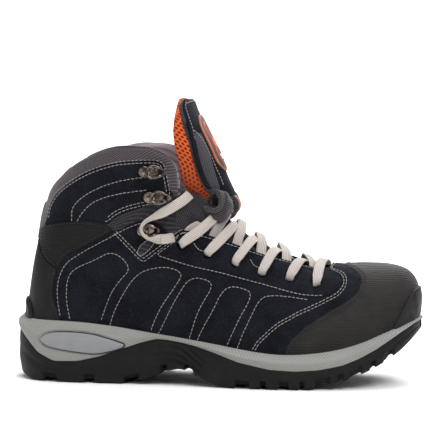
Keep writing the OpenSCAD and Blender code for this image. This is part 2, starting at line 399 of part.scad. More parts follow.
// flat cord with eight sides swept along points; its flat side follows nrm, and through a
// hole it keeps the width direction it had
function tangent(p, i) = unit(p[min(len(p)-1, i+1)] - p[max(0, i-1)]);
function turn(b, t, n) = let(c = cross(t, n)) norm(c) > .55 ? (c*b < 0 ? -1 : 1)*unit(c) : unit(b - (b*t)*t);
module flat_cord(path, nrm, w, t) {
  m = len(path);
  prof = [[1,.45],[.8,1],[-.8,1],[-1,.45],[-1,-.45],[-.8,-1],[.8,-1],[1,-.45]];
  width_dir = [for (i = 0, b = unit(cross(tangent(path, 0), nrm[0])); i < m;
    i = i+1, b = i < m ? turn(b, tangent(path, i), nrm[i]) : b) b];
  pts = [for (i = [0:m-1]) let(b = width_dir[i], n = cross(b, tangent(path, i)))
    for (q = prof) path[i] + b*q[0]*w/2 + n*q[1]*t/2];
  faces = concat([for (i = [0:m-2]) for (j = [0:7]) let(k2 = (j+1)%8) each
      [[i*8+j, i*8+k2, (i+1)*8+k2], [i*8+j, (i+1)*8+k2, (i+1)*8+j]]],
    [for (j = [1:6]) [0, j+1, j]], [for (j = [1:6]) let(a = (m-1)*8) [a, a+j, a+j+1]]);
  polyhedron(pts, faces, convexity = 12);
}
module lace() color([.80,.76,.74]) scale(k) flat_cord(LACE, LACE_N, lace_w, lace_t);
// loose ends: from the lock hook over the front edge of the shaft and down inside it
TAIL = [[-45,-42.2,121],[-41,-42.6,125],[-35,-41.8,129],[-28,-39,133.5],[-21,-34.5,139],[-16.5,-27.5,142.5],
  [-19,-22.2,140],[-26,-22.8,133],[-32,-25,124],[-36,-27,114],[-39,-28.4,104],[-42,-29,96],[-46,-29.2,88]];
TAIL_N = [[0,-1,0],[0,-1,.2],[.1,-1,.3],[.4,-1,.3],[.8,-.8,.4],[1,0,1],[.4,1,.8],[0,1,.5],[0,1,.3],[0,1,.2],[0,1,.1],[0,1,0],[0,1,0]];
module tail(s) flat_cord([for (p = TAIL) [p[0], -s*p[1], p[2]]], [for (p = TAIL_N) [p[0], -s*p[1], p[2]]], lace_w, lace_t);
module lace_tail_lateral() color([.80,.76,.74]) scale(k) tail(-1);
module lace_tail_medial() color([.80,.76,.74]) scale(k) tail(1);
module lace_tips() color([.75,.72,.70]) scale(k) for (s = [-1, 1])
  translate([-46, s*29.2, 88]) rotate([0,0,0]) rotate([0,206,0]) cylinder(d = 3.4, h = 18, $fn = 16);

outsole();
toe_rand();
heel_rand();
midsole();
heel_insert_lateral();
heel_insert_medial();
shank();
lasting_board();
footbed();
lining_collar();
lining_heel();
lining_forefoot();
membrane_bootie();
collar_foam();
heel_counter();
toe_puff();
side_backing();
collar_mesh();
cuff_lateral();
cuff_medial();
ankle_mesh_lateral();
ankle_mesh_medial();
heel_patch();
heel_guard();
quarter_lateral();
quarter_medial();
eyestay_lateral();
eyestay_medial();
vamp();
toe_cap();
gusset_lateral();
gusset_medial();
back_strip();
tongue_base();
lace_keeper();
tongue_flap();
tongue_lining();
tongue_badge();
top_hooks();
middle_hooks();
lock_hooks();
hook_rivets();
lace();
lace_tail_lateral();
lace_tail_medial();
lace_tips();
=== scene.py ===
import bpy
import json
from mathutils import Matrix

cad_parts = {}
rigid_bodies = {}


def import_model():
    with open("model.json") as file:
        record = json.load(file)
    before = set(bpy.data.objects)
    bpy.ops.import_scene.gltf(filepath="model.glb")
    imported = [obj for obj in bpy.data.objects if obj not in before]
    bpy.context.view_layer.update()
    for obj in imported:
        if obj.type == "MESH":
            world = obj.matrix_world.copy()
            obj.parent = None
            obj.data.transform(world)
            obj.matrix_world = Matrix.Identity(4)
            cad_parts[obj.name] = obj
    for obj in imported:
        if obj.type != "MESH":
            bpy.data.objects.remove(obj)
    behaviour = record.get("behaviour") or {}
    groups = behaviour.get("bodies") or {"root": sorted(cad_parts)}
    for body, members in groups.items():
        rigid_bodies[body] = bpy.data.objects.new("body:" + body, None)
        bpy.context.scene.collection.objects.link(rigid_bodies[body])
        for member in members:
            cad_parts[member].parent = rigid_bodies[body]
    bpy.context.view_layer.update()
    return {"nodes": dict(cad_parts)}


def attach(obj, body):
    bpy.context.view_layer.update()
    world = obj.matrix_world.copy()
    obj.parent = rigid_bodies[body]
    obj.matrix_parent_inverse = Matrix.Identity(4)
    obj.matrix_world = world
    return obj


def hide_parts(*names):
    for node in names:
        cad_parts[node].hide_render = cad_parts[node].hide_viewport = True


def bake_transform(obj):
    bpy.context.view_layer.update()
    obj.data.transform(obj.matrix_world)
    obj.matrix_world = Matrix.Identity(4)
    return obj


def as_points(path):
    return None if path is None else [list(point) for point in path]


for o_ in list(bpy.data.objects):
    bpy.data.objects.remove(o_)
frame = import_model()
import bpy, bmesh, math, json
import numpy as np
from mathutils import Vector
from mathutils.bvhtree import BVHTree
from mathutils.kdtree import KDTree

S = bpy.context.scene
MM = 0.001

# ------------------------------------------------------------------ camera and light
def look_at(ob, target):
    ob.rotation_euler = (Vector(target) - ob.location).to_track_quat("-Z", "Y").to_euler()

T = Vector((0.0035, 0.0, 0.120))
az, el, dist = math.radians(10.0), math.radians(4.0), 1.6
back = Vector((math.sin(az)*math.cos(el), -math.cos(az)*math.cos(el), math.sin(el)))
cam = bpy.data.objects.new("camera", bpy.data.cameras.new("camera"))
S.collection.objects.link(cam)
cam.location = T + back*dist
look_at(cam, T)
cam.data.sensor_width = 36.0
cam.data.lens = 36.0*dist/(444*0.000762)
cam.data.clip_end = 20
S.camera = cam

def area(name, loc, target, size, power, col=(1, 1, 1)):
    L = bpy.data.lights.new(name, "AREA")
    L.energy = power; L.size = size; L.color = col
    ob = bpy.data.objects.new(name, L)
    S.collection.objects.link(ob)
    ob.location = loc
    look_at(ob, target)
    return ob

# ------------------------------------------------------------------ the foot form
ST = np.array([
 [151.6,51,152.6,56,4,5,0,2,2.2,5,.02],[150.3,50,152.4,70,12,14.5,0,2,2.4,5,.03],
 [146.5,48,148.8,80.2,20,22.5,0,2,2.5,5,.04],[139.5,44.8,141.5,86.2,28.5,30.5,0,2,2.6,5,.05],
 [128,39.8,129,89,36.5,38,0,2,2.6,4.8,.06],[112,33.2,112,89.3,43.5,43.5,0,2,2.5,4.5,.07],
 [94,28.4,93.5,89.3,48.5,46.5,0,2,2.3,4,.07],[75,25.8,77,91,51,47.5,0,2,2.15,3.5,.07],
 [55,25,59,97,51.5,46.5,0,2,2.1,3,.06],[32,27.2,42,105,50,44.5,0,2,2.1,2.5,.05],
 [8,31,28.5,112,47,42,0,2,2.2,2,.05],[-18,34.8,18.5,119.5,43.5,40,0,2.2,2.4,1.5,.05],
 [-45,38.6,11.5,127,41,39,-.08,2.6,2.7,1,.04],[-72,42.6,6.5,134,39.5,38.2,-.2,3,3,.5,.03],
 [-97,45.2,3,141,38.8,38,-.36,3.2,3.2,0,.02],[-119,46,.5,148,38.4,37.8,-.54,3.3,3.4,0,.01],
 [-134,46,-1.5,154,38.2,37.8,-.78,3.4,3.5,0,0],[-143,46,-2.8,159,38.2,37.8,-.93,3.5,3.6,0,0],
 [-146.8,47,-3.6,163,38.3,37.9,-.99,3.5,3.65,0,0],[-147.1,56,-4.2,167,38.4,38,-1,3.5,3.7,0,0],
 [-145.8,68,-5.2,173,38.8,38.4,-1,3.5,3.8,0,0],[-143.6,82,-6,179,39.3,39,-1,3.4,3.9,0,0],
 [-140.7,96,-6.6,186,39.8,39.6,-1,3.3,4,0,0],[-137.8,110,-7.2,194,40.4,40.2,-1,3.2,4,0,0],
 [-135.4,124,-7.8,202,41,41,-1,3.1,4,0,0],[-131.1,138,-8.4,210,41.4,41.4,-1,3,4,0,0],
 [-126,152,-9,218,41.6,41.6,-1,3,4,0,0]], float)
NS = len(ST)

def rows_at(u):
    u = np.clip(np.asarray(u, float), 0, NS-1)
    i = np.minimum(u.astype(int), NS-2)
    f = (u-i)[..., None]
    p0 = ST[np.maximum(i-1, 0)]; p1 = ST[i]; p2 = ST[i+1]; p3 = ST[np.minimum(i+2, NS-1)]
    p0 = np.where((i == 0)[..., None], 2*p1-p2, p0)
    p3 = np.where((i+2 > NS-1)[..., None], 2*p2-p1, p3)
    return 0.5*((2*p1)+(-p0+p2)*f+(2*p0-5*p1+4*p2-p3)*f*f+(-p0+3*p1-3*p2+p3)*f**3)

def surf(u, v):
    u, v = np.broadcast_arrays(np.asarray(u, float), np.asarray(v, float))
    c = rows_at(u)
    xb, zb, xf, zf, wl, wm, t0, pb, pf, yc, tk = [c[..., k] for k in range(11)]
    t0 = np.clip(t0, -1, 0)
    s = np.where(v <= 1, -1., 1.)
    w = np.where(v <= 1, v, 2-v)
    th0 = np.arcsin(t0)
    t = np.sin(th0+(np.pi/2-th0)*w)
    p = np.where(t < 0, pb, pf)
    g = np.sqrt(np.clip(1-np.abs(t)**p, 0, 1))
    h = (t-t0)/(1-t0)
    W = np.where(s < 0, wl, wm)*(1-tk*(1-h)**3)
    return np.stack([xb+(xf-xb)*h, yc+s*W*g, zb+(zf-zb)*h], -1)

def unit(a):
    return a/np.maximum(1e-9, np.linalg.norm(a, axis=-1, keepdims=True))

def surf_n(u, v):
    e = 0.01
    u, v = np.broadcast_arrays(np.asarray(u, float), np.asarray(v, float))
    du = surf(np.minimum(NS-1, u+e), v)-surf(np.maximum(0, u-e), v)
    w = np.where((v < e) | (v > 2-e), 0, 1)
    dv = surf(u, np.minimum(2, v+e))-surf(u, np.maximum(0, v-e))
    return unit(np.cross(dv, du))

def on_last(q):
    q = np.asarray(q, float)
    return surf(q[:, 0], q[:, 1])+q[:, 2:3]*surf_n(q[:, 0], q[:, 1])

# dense grid
def spaced(knots, n):
    """n values spread so that the surface steps are even"""
    d = surf(np.linspace(0, NS-1, 2000)[:, None], np.array([.15, .5, .85])[None])
    L = np.concatenate([[0], np.cumsum(np.linalg.norm(np.diff(d, axis=0), axis=-1).mean(-1))])
    return np.interp(np.linspace(0, L[-1], n), L, np.linspace(0, NS-1, 2000))
GU = spaced(None, 400)
GV = np.linspace(0, 2, 261)
UU, VV = np.meshgrid(GU, GV, indexing="ij")
GP = surf(UU, VV)
GN = surf_n(UU, VV)
shut = (GU < 18.99) & (np.abs(GP[:, 0, 1]) < 3.6) & (np.abs(GP[:, -1, 1]) < 3.6) & (GP[:, 0, 0] < -140)
GP[shut, 0, 1] = 0; GP[shut, -1] = GP[shut, 0]      # the two sides meet at the heel
closed = (GU >= 18.99) | shut
GN[closed, 0] = unit(GN[closed, 1]+GN[closed, -2]); GN[closed, -1] = GN[closed, 0]
nU, nV = UU.shape
su = np.zeros((nU, nV)); su[1:] = np.cumsum(np.linalg.norm(np.diff(GP, axis=0), axis=-1), 0)
sv = np.zeros((nU, nV)); sv[:, 1:] = np.cumsum(np.linalg.norm(np.diff(GP, axis=1), axis=-1), 1)
sv = sv-sv[:, nV//2][:, None]
GX, GY, GZ = GP[..., 0], GP[..., 1], GP[..., 2]

# ------------------------------------------------------------------ outlines in side view (x, z)
def chaikin(p, n=2, closed=True):
    p = np.asarray(p, float)
    for _ in range(n):
        q = np.roll(p, -1, 0) if closed else p[1:]
        a = p if closed else p[:-1]
        r = np.empty((2*len(a), 2)); r[0::2] = .75*a+.25*q; r[1::2] = .25*a+.75*q
        if not closed:
            r = np.vstack([p[:1], r, p[-1:]])
        p = r
    return p

def seg_dist(X, Z, pl, closed=False):
    """distance from points to a polyline, and its gradient direction"""
    pl = np.asarray(pl, float)
    a = pl; b = np.roll(pl, -1, 0)
    if not closed:
        a = a[:-1]; b = b[:-1]
    best = np.full(X.shape, 1e9); gx = np.zeros(X.shape); gz = np.zeros(X.shape)
    for (ax, az_), (bx, bz) in zip(a, b):
        dx, dz = bx-ax, bz-az_
        L2 = dx*dx+dz*dz
        if L2 < 1e-12:
            continue
        t = np.clip(((X-ax)*dx+(Z-az_)*dz)/L2, 0, 1)
        ex = X-(ax+t*dx); ez = Z-(az_+t*dz)
        d = ex*ex+ez*ez
        m = d < best
        best = np.where(m, d, best); gx = np.where(m, ex, gx); gz = np.where(m, ez, gz)
    d = np.sqrt(best)
    return d, gx/np.maximum(d, 1e-9), gz/np.maximum(d, 1e-9)

def inside(X, Z, poly):
    c = np.zeros(X.shape, bool)
    a = poly; b = np.roll(poly, -1, 0)
    for (ax, az_), (bx, bz) in zip(a, b):
        if az_ == bz:
            continue
        m = ((az_ > Z) != (bz > Z)) & (X < (bx-ax)*(Z-az_)/(bz-az_)+ax)
        c ^= m
    return c

def sdf(poly, smooth=2, X=None, Z=None):
    """signed distance along the surface (positive inside) on the dense grid"""
    p = chaikin(poly, smooth)
    own = X is None
    X = GX if own else X; Z = GZ if own else Z
    d, gx, gz = seg_dist(X, Z, p, True)
    s = np.where(inside(X, Z, p), 1., -1.)
    if own:
        ng = GN[..., 0]*gx+GN[..., 2]*gz
        d = d/np.maximum(.3, np.sqrt(np.clip(1-ng**2, 0, 1)))
    return s*d

UPPER = [[-170,136],[-142,139],[-134,141],[-130,144],[-122,149.5],[-114,157],[-107,163],[-100,167.5],
 [-94,170],[-88,173],[-82,175.5],[-76,177.5],[-69,179],[-63,179.3],[-55,178.8],[-44,178.2],[-37,175.5],
 [-30,171],[-26,166],[-23.5,160],[-22.5,146],[-23.5,138],[-25,129],[-24,120],[-21,115.8],[-13,115],
 [-4,112.8],[11.5,107.5],[21.8,103.7],[37.6,98],[56.6,93],[69,89.4],[81,86.9],[84.5,86.9],[87.5,89],[89,93],[90,120],[190,120],
 [190,-10],[-170,-10]]
TOE = [[93,110],[94.5,91.5],[97.5,88.6],[104.7,86.4],[110,83],[112.2,79.5],[112.3,75],[110.5,71],[105.5,66.4],[98.5,62],[90,57],[82,52],
 [75,48],[69.5,43],[64.5,38.5],[61.5,34.5],[58,26],[55,12],[52,-10],[200,-10],[200,110]]
FRONT = [[86.5,120],[86.2,90],[87,86],[91,84.8],[95.5,83],[98.3,79.5],[97.6,75],[94.5,71.8],[91.4,70],[86.7,67.5],[75.7,62.4],[67,58.5],
 [60,54.6],[53,50.8],[47.5,46.5],[41.6,41],[37,36.5],[34,32],[30,25.5],[24,12],[18,-10],[200,-10],[200,120]]
EYE = [[-19.5,160],[-19.5,116],[-24,114.5],[-28,108],[-35,103.2],[-41,98.5],[-43.4,96.6],[-40,95.8],[-29,92],[-12,87],[7,83.3],[25,78.8],[43,74.6],[60,69.8],
 [72,67.6],[80,67.2],[86.7,67.5],[91.4,70],[94.5,71.8],[97.6,75],[98.3,79.5],[95.5,83],[91,84.8],[87,86],[86.2,90],[86.5,160]]
HEEL = [[-190,-10],[-111,-10],[-113.9,48],[-117,53.4],[-119.6,59.4],[-120.8,69.2],[-119.5,78.4],[-116.4,85.8],
 [-123.7,89.4],[-130.2,96],[-134.2,104],[-137,110.5],[-141,111.5],[-190,112]]
PATCH = [[-116.4,85.8],[-113.5,90.8],[-109.4,95.5],[-103,99.4],[-96,102.6],[-84.3,108.8],[-72.3,115],[-75,117.8],[-80,120],[-91,122.3],
 [-103,122.2],[-114,121],[-123,119.3],[-130,117],[-136,114.8],[-190,114.6],[-190,112],[-141,111.5],[-137,110.5],[-134.2,104],[-130.2,96],[-123.7,89.4]]
CUFF = [[-131,116],[-128.5,123],[-125.5,133.5],[-120.5,141.5],[-114,148.2],[-107,153.4],[-100,157.6],[-91,162],[-82,165.3],[-74,167.6],[-66.6,169.1],
 [-51.5,170.3],[-40,170.4],[-34.6,168.6],[-31.8,164.4],[-30,153.4],[-28.3,143.5],[-29.5,139],[-35.7,136],[-48.3,133],
 [-57,131],[-65,128.4],[-71.5,124.8],[-75,121],[-80,120],[-91,122.3],[-114,121]]
ANKLE = [[-80,119],[-75,121],[-71.5,124.8],[-65,128.4],[-57,131],[-48.3,133],[-35.7,136],[-29.5,139],[-28.3,143.5],[-10,143.5],[-10,117],
 [-19.5,117],[-19.5,116],[-24,114.5],[-28.3,111.5],[-31.3,113.8],[-35,119],[-40.9,124.2],[-46.9,125.7],
 [-50.6,124.2],[-59.8,120.4],[-72.3,115]]
COLLAR = [[-190,114.6],[-136,114.8],[-131,116],[-128.5,123],[-125.5,133.5],[-120.5,141.5],[-114,148.2],[-107,153.4],[-100,157.6],[-91,162],[-82,165.3],
 [-74,167.6],[-66.6,169.1],[-51.5,170.3],[-40,170.4],[-34.6,168.6],[-31.8,164.4],[-30,153.4],[-28.3,143.5],
 [-10,143.5],[-10,210],[-190,210]]
D = {k: sdf(v) for k, v in dict(UPPER=UPPER, TOE=TOE, FRONT=FRONT, EYE=EYE, HEEL=HEEL, PATCH=PATCH,
     CUFF=CUFF, ANKLE=ANKLE, COLLAR=COLLAR).items()}

# stitch lines in side view: (points, colour, smooth)
W, B_ = "white", "black"
LINES = {
 "cuff_a": [[-104.6,122.1],[-104.5,131.9],[-98,138.8],[-87.2,145.7],[-73,151.1],[-60,154.2],[-44.3,155.8]],
 "cuff_b": [[-100.1,122.2],[-96.4,128.5],[-89.3,135.5],[-80.3,140],[-64.8,143.7],[-44.4,146.2]],
 "v": [[-72,113],[-62.1,103.4],[-51.4,92.4],[-48.5,92.4],[-40.8,98.4],[-28.2,107.6],[-23.5,112.8],[-19,114.2],[-12.8,113.6],[-4.5,111]],
 "q0": [[-114.6,50],[-117,61.8],[-116.9,73.2],[-113.9,83.6],[-107.9,91.8],[-94.5,99.8],[-82.8,106],[-72.8,111.4],[-62,117.4],[-50,121.6]],
 "f0": [[-107,47.6],[-109.8,62],[-109.3,76.5],[-104.4,85.6],[-88,92.3],[-72.9,100.6],[-58.3,87.3],[-68.3,77.3],[-75.6,66.6],[-83.2,45]],
 "f1": [[-76.1,43],[-72.1,55.3],[-65,68.3],[-57.3,79.8],[-48.7,85.9],[-34.7,88.6],[-24.4,86.5],[-20.5,82.6],[-22.6,78.1],[-28.6,69],[-35.5,59.5],[-41.7,47],[-45,37]],
 "f2": [[-39.5,36],[-35.4,43.3],[-28.9,57.3],[-20.8,71.4],[-16.6,77.7],[-10.5,80.9],[-2.4,79.4],[2.3,76.9],[1.7,71.8],[-4,62.5],[-8.5,53.3],[-11.9,42.9],[-15,33]],
 "f3": [[-9,32],[-4.1,43.1],[4,57.1],[8.4,67.2],[13.3,73.5],[19.9,74.8],[29.6,72.2],[32.4,69.8],[31,63.4],[24.6,52],[20.6,43.6],[13.5,28]],
 "f4": [[21.9,27.5],[28.6,44.2],[33.2,53.5],[37.4,62.9],[42.4,68.2],[54.5,68.6],[76.3,65.5]],
 "l2": [[-41.8,97.6],[-29.1,93.2],[-11.8,88],[6.7,84.4],[25.4,80],[42.8,75.8],[60.1,71],[74.6,68.8],[84,68.4]],
}
LINES = {k: chaikin(v, 2, False) for k, v in LINES.items()}
ds_all = np.full(GX.shape, 1e9)
for k in LINES:
    ds_all = np.minimum(ds_all, seg_dist(GX, GZ, LINES[k])[0])

# smooth, repeatable noise from a few dozen waves
def waves(P, scale, seed, n=24):
    r = np.random.RandomState(seed)
    k = r.normal(size=(n, 3)); k = k/np.linalg.norm(k, axis=1)[:, None]*(2*np.pi/scale)*r.uniform(.6, 1.6, (n, 1))
    ph = r.uniform(0, 2*np.pi, n)
    out = np.zeros(P.shape[:-1])
    for kk, p in zip(k, ph):
        out += np.sin(P@kk+p)
    return out/math.sqrt(n)*1.2
N_soft = waves(GP, 34, 3)
N_fine = waves(GP, 9, 5)


# ------------------------------------------------------------------ mesh helpers
ALL = {}
def build(name, V, F, mat=None, uv=None, attrs=None, smooth=True, weld=None):
    F = F if isinstance(F, list) else [F]
    F = [np.asarray(f, np.int64) for f in F if len(f)]
    V = np.asarray(V, float)*MM
    me = bpy.data.meshes.new(name)
    me.vertices.add(len(V)); me.vertices.foreach_set("co", V.ravel())
    idx = np.concatenate([f.ravel() for f in F]); sizes = np.concatenate([np.full(len(f), f.shape[1]) for f in F])
    me.loops.add(len(idx)); me.loops.foreach_set("vertex_index", idx.astype(np.int32))
    me.polygons.add(len(sizes))
    me.polygons.foreach_set("loop_start", np.concatenate([[0], np.cumsum(sizes)[:-1]]).astype(np.int32))
    me.update(calc_edges=True)
    me.validate(verbose=False)
    if uv is not None:
        lay = me.uv_layers.new(name="surf")
        li = np.empty(len(me.loops), np.int32); me.loops.foreach_get("vertex_index", li)
        lay.data.foreach_set("uv", (np.asarray(uv, float)[li]*MM).astype(np.float32).ravel())
    for k, a in (attrs or {}).items():
        me.attributes.new(k, "FLOAT", "POINT").data.foreach_set("value", np.asarray(a, np.float32))
    if weld:
        bm = bmesh.new(); bm.from_mesh(me)
        bmesh.ops.remove_doubles(bm, verts=bm.verts, dist=weld*MM)
        bmesh.ops.recalc_face_normals(bm, faces=bm.faces)
        bm.to_mesh(me); bm.free()
    me.polygons.foreach_set("use_smooth", np.full(len(me.polygons), smooth))
    if mat:
        me.materials.append(mat)
    ob = bpy.data.objects.new(name, me)
    S.collection.objects.link(ob)
    ALL[name] = ob
    return ob

def own(ob, rep=(), slot=None, body="boot"):
    if body:
        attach(ob, body)
    if rep:
        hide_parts(*rep)
    return ob

def boundary(F):
    e = np.vstack([F[:, [0, 1]], F[:, [1, 2]], F[:, [2, 0]]])
    k = np.sort(e, 1)
    _, inv, cnt = np.unique(k[:, 0].astype(np.int64)*10**8+k[:, 1], return_inverse=True, return_counts=True)
    return e[cnt[inv.ravel()] == 1]

def clip(Dp, P, N, A, B, ch, closed_rows=None):
    """triangles of a grid where Dp >= 0, with the vertices nearest the edge pulled onto it"""
    n, m = Dp.shape
    A0 = np.concatenate([P, N, A[..., None], B[..., None]]+[c[..., None] for c in ch], -1)
    best = np.full(Dp.shape, .52); new = A0.copy()
    def edge(sa, sb):
        a, b = Dp[sa], Dp[sb]
        cr = (a >= 0) != (b >= 0)
        t = np.where(cr, a/np.where(cr, a-b, 1), 9)
        X = A0[sa]+np.where(cr, t, 0)[..., None]*(A0[sb]-A0[sa])
        k = cr & (t < best[sa])
        best[sa] = np.where(k, t, best[sa]); new[sa] = np.where(k[..., None], X, new[sa])
        k = cr & ((1-t) < best[sb])
        best[sb] = np.where(k, 1-t, best[sb]); new[sb] = np.where(k[..., None], X, new[sb])
    s = slice
    edge((s(0, -1), s(None)), (s(1, None), s(None)))
    edge((s(None), s(0, -1)), (s(None), s(1, None)))
    edge((s(0, -1), s(0, -1)), (s(1, None), s(1, None)))
    snap = best < .52
    keep = (Dp >= 0) | snap
    idx = np.arange(n*m).reshape(n, m)
    if closed_rows is not None:
        idx[closed_rows, -1] = idx[closed_rows, 0]
    a = idx[:-1, :-1]; b = idx[1:, :-1]; c = idx[1:, 1:]; d = idx[:-1, 1:]
    F = np.vstack([np.stack([a, b, c], -1).reshape(-1, 3), np.stack([a, c, d], -1).reshape(-1, 3)])
    dm = np.where(snap.ravel(), 0, Dp.ravel())
    F = F[keep.ravel()[F].all(1) & (dm[F].sum(1) > 1e-6)]
    F = F[(F[:, 0] != F[:, 1]) & (F[:, 1] != F[:, 2]) & (F[:, 2] != F[:, 0])]
    used, inv = np.unique(F, return_inverse=True)
    return new.reshape(n*m, -1)[used], inv.reshape(-1, 3), dm[used]

def roll(d, r, t):
    """how far a rounded edge of radius r has dropped, of t in all, at distance d from it"""
    x = np.clip(d/r, 0, 1)
    return -t*(1-np.sqrt(1-(1-x)**2))

def smooth01(x):
    x = np.clip(x, 0, 1)
    return x*x*(3-2*x)

FLIP = float(np.einsum("ijk,ijk->ij", np.cross(GP[1:, :-1]-GP[:-1, :-1], GP[:-1, 1:]-GP[:-1, :-1]), GN[:-1, :-1]).mean()) < 0
CH = ["ds", "ns", "nf", "up", "win", "x", "y", "z"]
OUTER = []     # what the needle sees
ON = {}
def panel(name, Dp, mat, top, bottom=-1.6, r=1.3, drop=.8, extra=None, rim=None, outer=True, rep=(), slot=None, body="boot", inner_fn=None, coarse=False):
    Vx, F, dd = clip(Dp, GP, GN, su, sv, [ds_all, N_soft, N_fine, D["UPPER"], WIN, GX, GY, GZ], closed)
    if FLIP:
        F = F[:, ::-1]
    P, N = Vx[:, :3], unit(Vx[:, 3:6]); uv = Vx[:, 6:8]
    c = dict(zip(CH, Vx[:, 8:].T)); c["d"] = dd
    h = top+roll(dd, r, drop)+.16*c["ns"]*np.clip(dd/8, 0, 1)
    if extra is not None:
        h = h+extra(c)
    if rim:
        h = h+roll(c["up"], rim[0], rim[1])
    hb = np.minimum(bottom, h-.3) if inner_fn is None else inner_fn(c, h)
    n = len(P); bd = boundary(F)
    Fw = np.vstack([np.stack([bd[:, 1], bd[:, 0], bd[:, 0]+n], -1), np.stack([bd[:, 1], bd[:, 0]+n, bd[:, 1]+n], -1)])
    FF = np.vstack([F, F[:, ::-1]+n, Fw])
    V = np.vstack([P+N*h[:, None], P+N*hb[:, None]])
    ob = build(name, V, FF, mat, np.vstack([uv, uv]), attrs={"edge": np.concatenate([dd, dd])})
    ob["n_out"] = n
    if outer:
        ON[len(OUTER)] = (ob, n); OUTER.append((V[:n], F))
    return own(ob, rep, slot, body)

def sweep(path, wd, nd, sec, scale=None, closed=False):
    path = np.asarray(path, float); m = len(path); k = len(sec)
    sec = np.asarray(sec, float)
    sc = np.ones((m, 2)) if scale is None else np.asarray(scale, float)
    V = (path[:, None]+wd[:, None]*(sec[None, :, 0]*sc[:, 0:1])[..., None]+nd[:, None]*(sec[None, :, 1]*sc[:, 1:2])[..., None]).reshape(-1, 3)
    i = np.arange(m if closed else m-1)[:, None]*k; j = np.arange(k)[None]
    i2 = (i+k) % (m*k); j2 = (j+1) % k
    Q = np.stack([i+j, i+j2, i2+j2, i2+j], -1).reshape(-1, 4)
    L = np.concatenate([[0], np.cumsum(np.linalg.norm(np.diff(path, axis=0), axis=1))])
    uv = np.stack([np.repeat(L, k), np.tile(sec[:, 0], m)], -1)
    if closed:
        return V, [Q], uv
    V = np.vstack([V, path[:1], path[-1:]]); uv = np.vstack([uv, [[L[0], 0]], [[L[-1], 0]]])
    j = np.arange(k)
    T = np.vstack([np.stack([(j+1) % k, j, np.full(k, m*k)], -1), np.stack([(m-1)*k+j, (m-1)*k+(j+1) % k, np.full(k, m*k+1)], -1)])
    return V, [Q, T], uv

def merge(parts):
    V, F3, F4, UV = [], [], [], []
    o = 0
    for v, fs, uv in parts:
        for f in fs:
            (F4 if f.shape[1] == 4 else F3).append(f+o)
        V.append(v); UV.append(uv); o += len(v)
    fs = ([np.vstack(F4)] if F4 else [])+([np.vstack(F3)] if F3 else [])
    return np.vstack(V), fs, np.vstack(UV)

def crom(P, n, closed=False):
    """Catmull-Rom through rows of P, n steps a span"""
    P = np.asarray(P, float); m = len(P)
    if closed:
        idx = lambda k: P[k % m]
        spans = m
    else:
        idx = lambda k: P[k] if 0 <= k < m else (2*P[0]-P[1] if k < 0 else 2*P[-1]-P[-2])
        spans = m-1
    t = np.linspace(0, 1, n, endpoint=False)[:, None]
    out = []
    for i in range(spans):
        a, b, c, d = idx(i-1), idx(i), idx(i+1), idx(i+2)
        out.append(.5*((2*b)+(-a+c)*t+(2*a-5*b+4*c-d)*t*t+(-a+3*b-3*c+d)*t**3))
    if not closed:
        out.append(P[-1:])
    return np.vstack(out)

def resample(P, step=None, n=None):
    L = np.concatenate([[0], np.cumsum(np.linalg.norm(np.diff(P, axis=0), axis=1))])
    n = n or max(2, int(round(L[-1]/step))+1)
    q = np.linspace(0, L[-1], n)
    return np.stack([np.interp(q, L, P[:, k]) for k in range(P.shape[1])], -1)

# ------------------------------------------------------------------ materials
def lin(c):
    return tuple(((v/255)/12.92 if v/255 <= .04045 else ((v/255+.055)/1.055)**2.4) for v in c)+(1,)

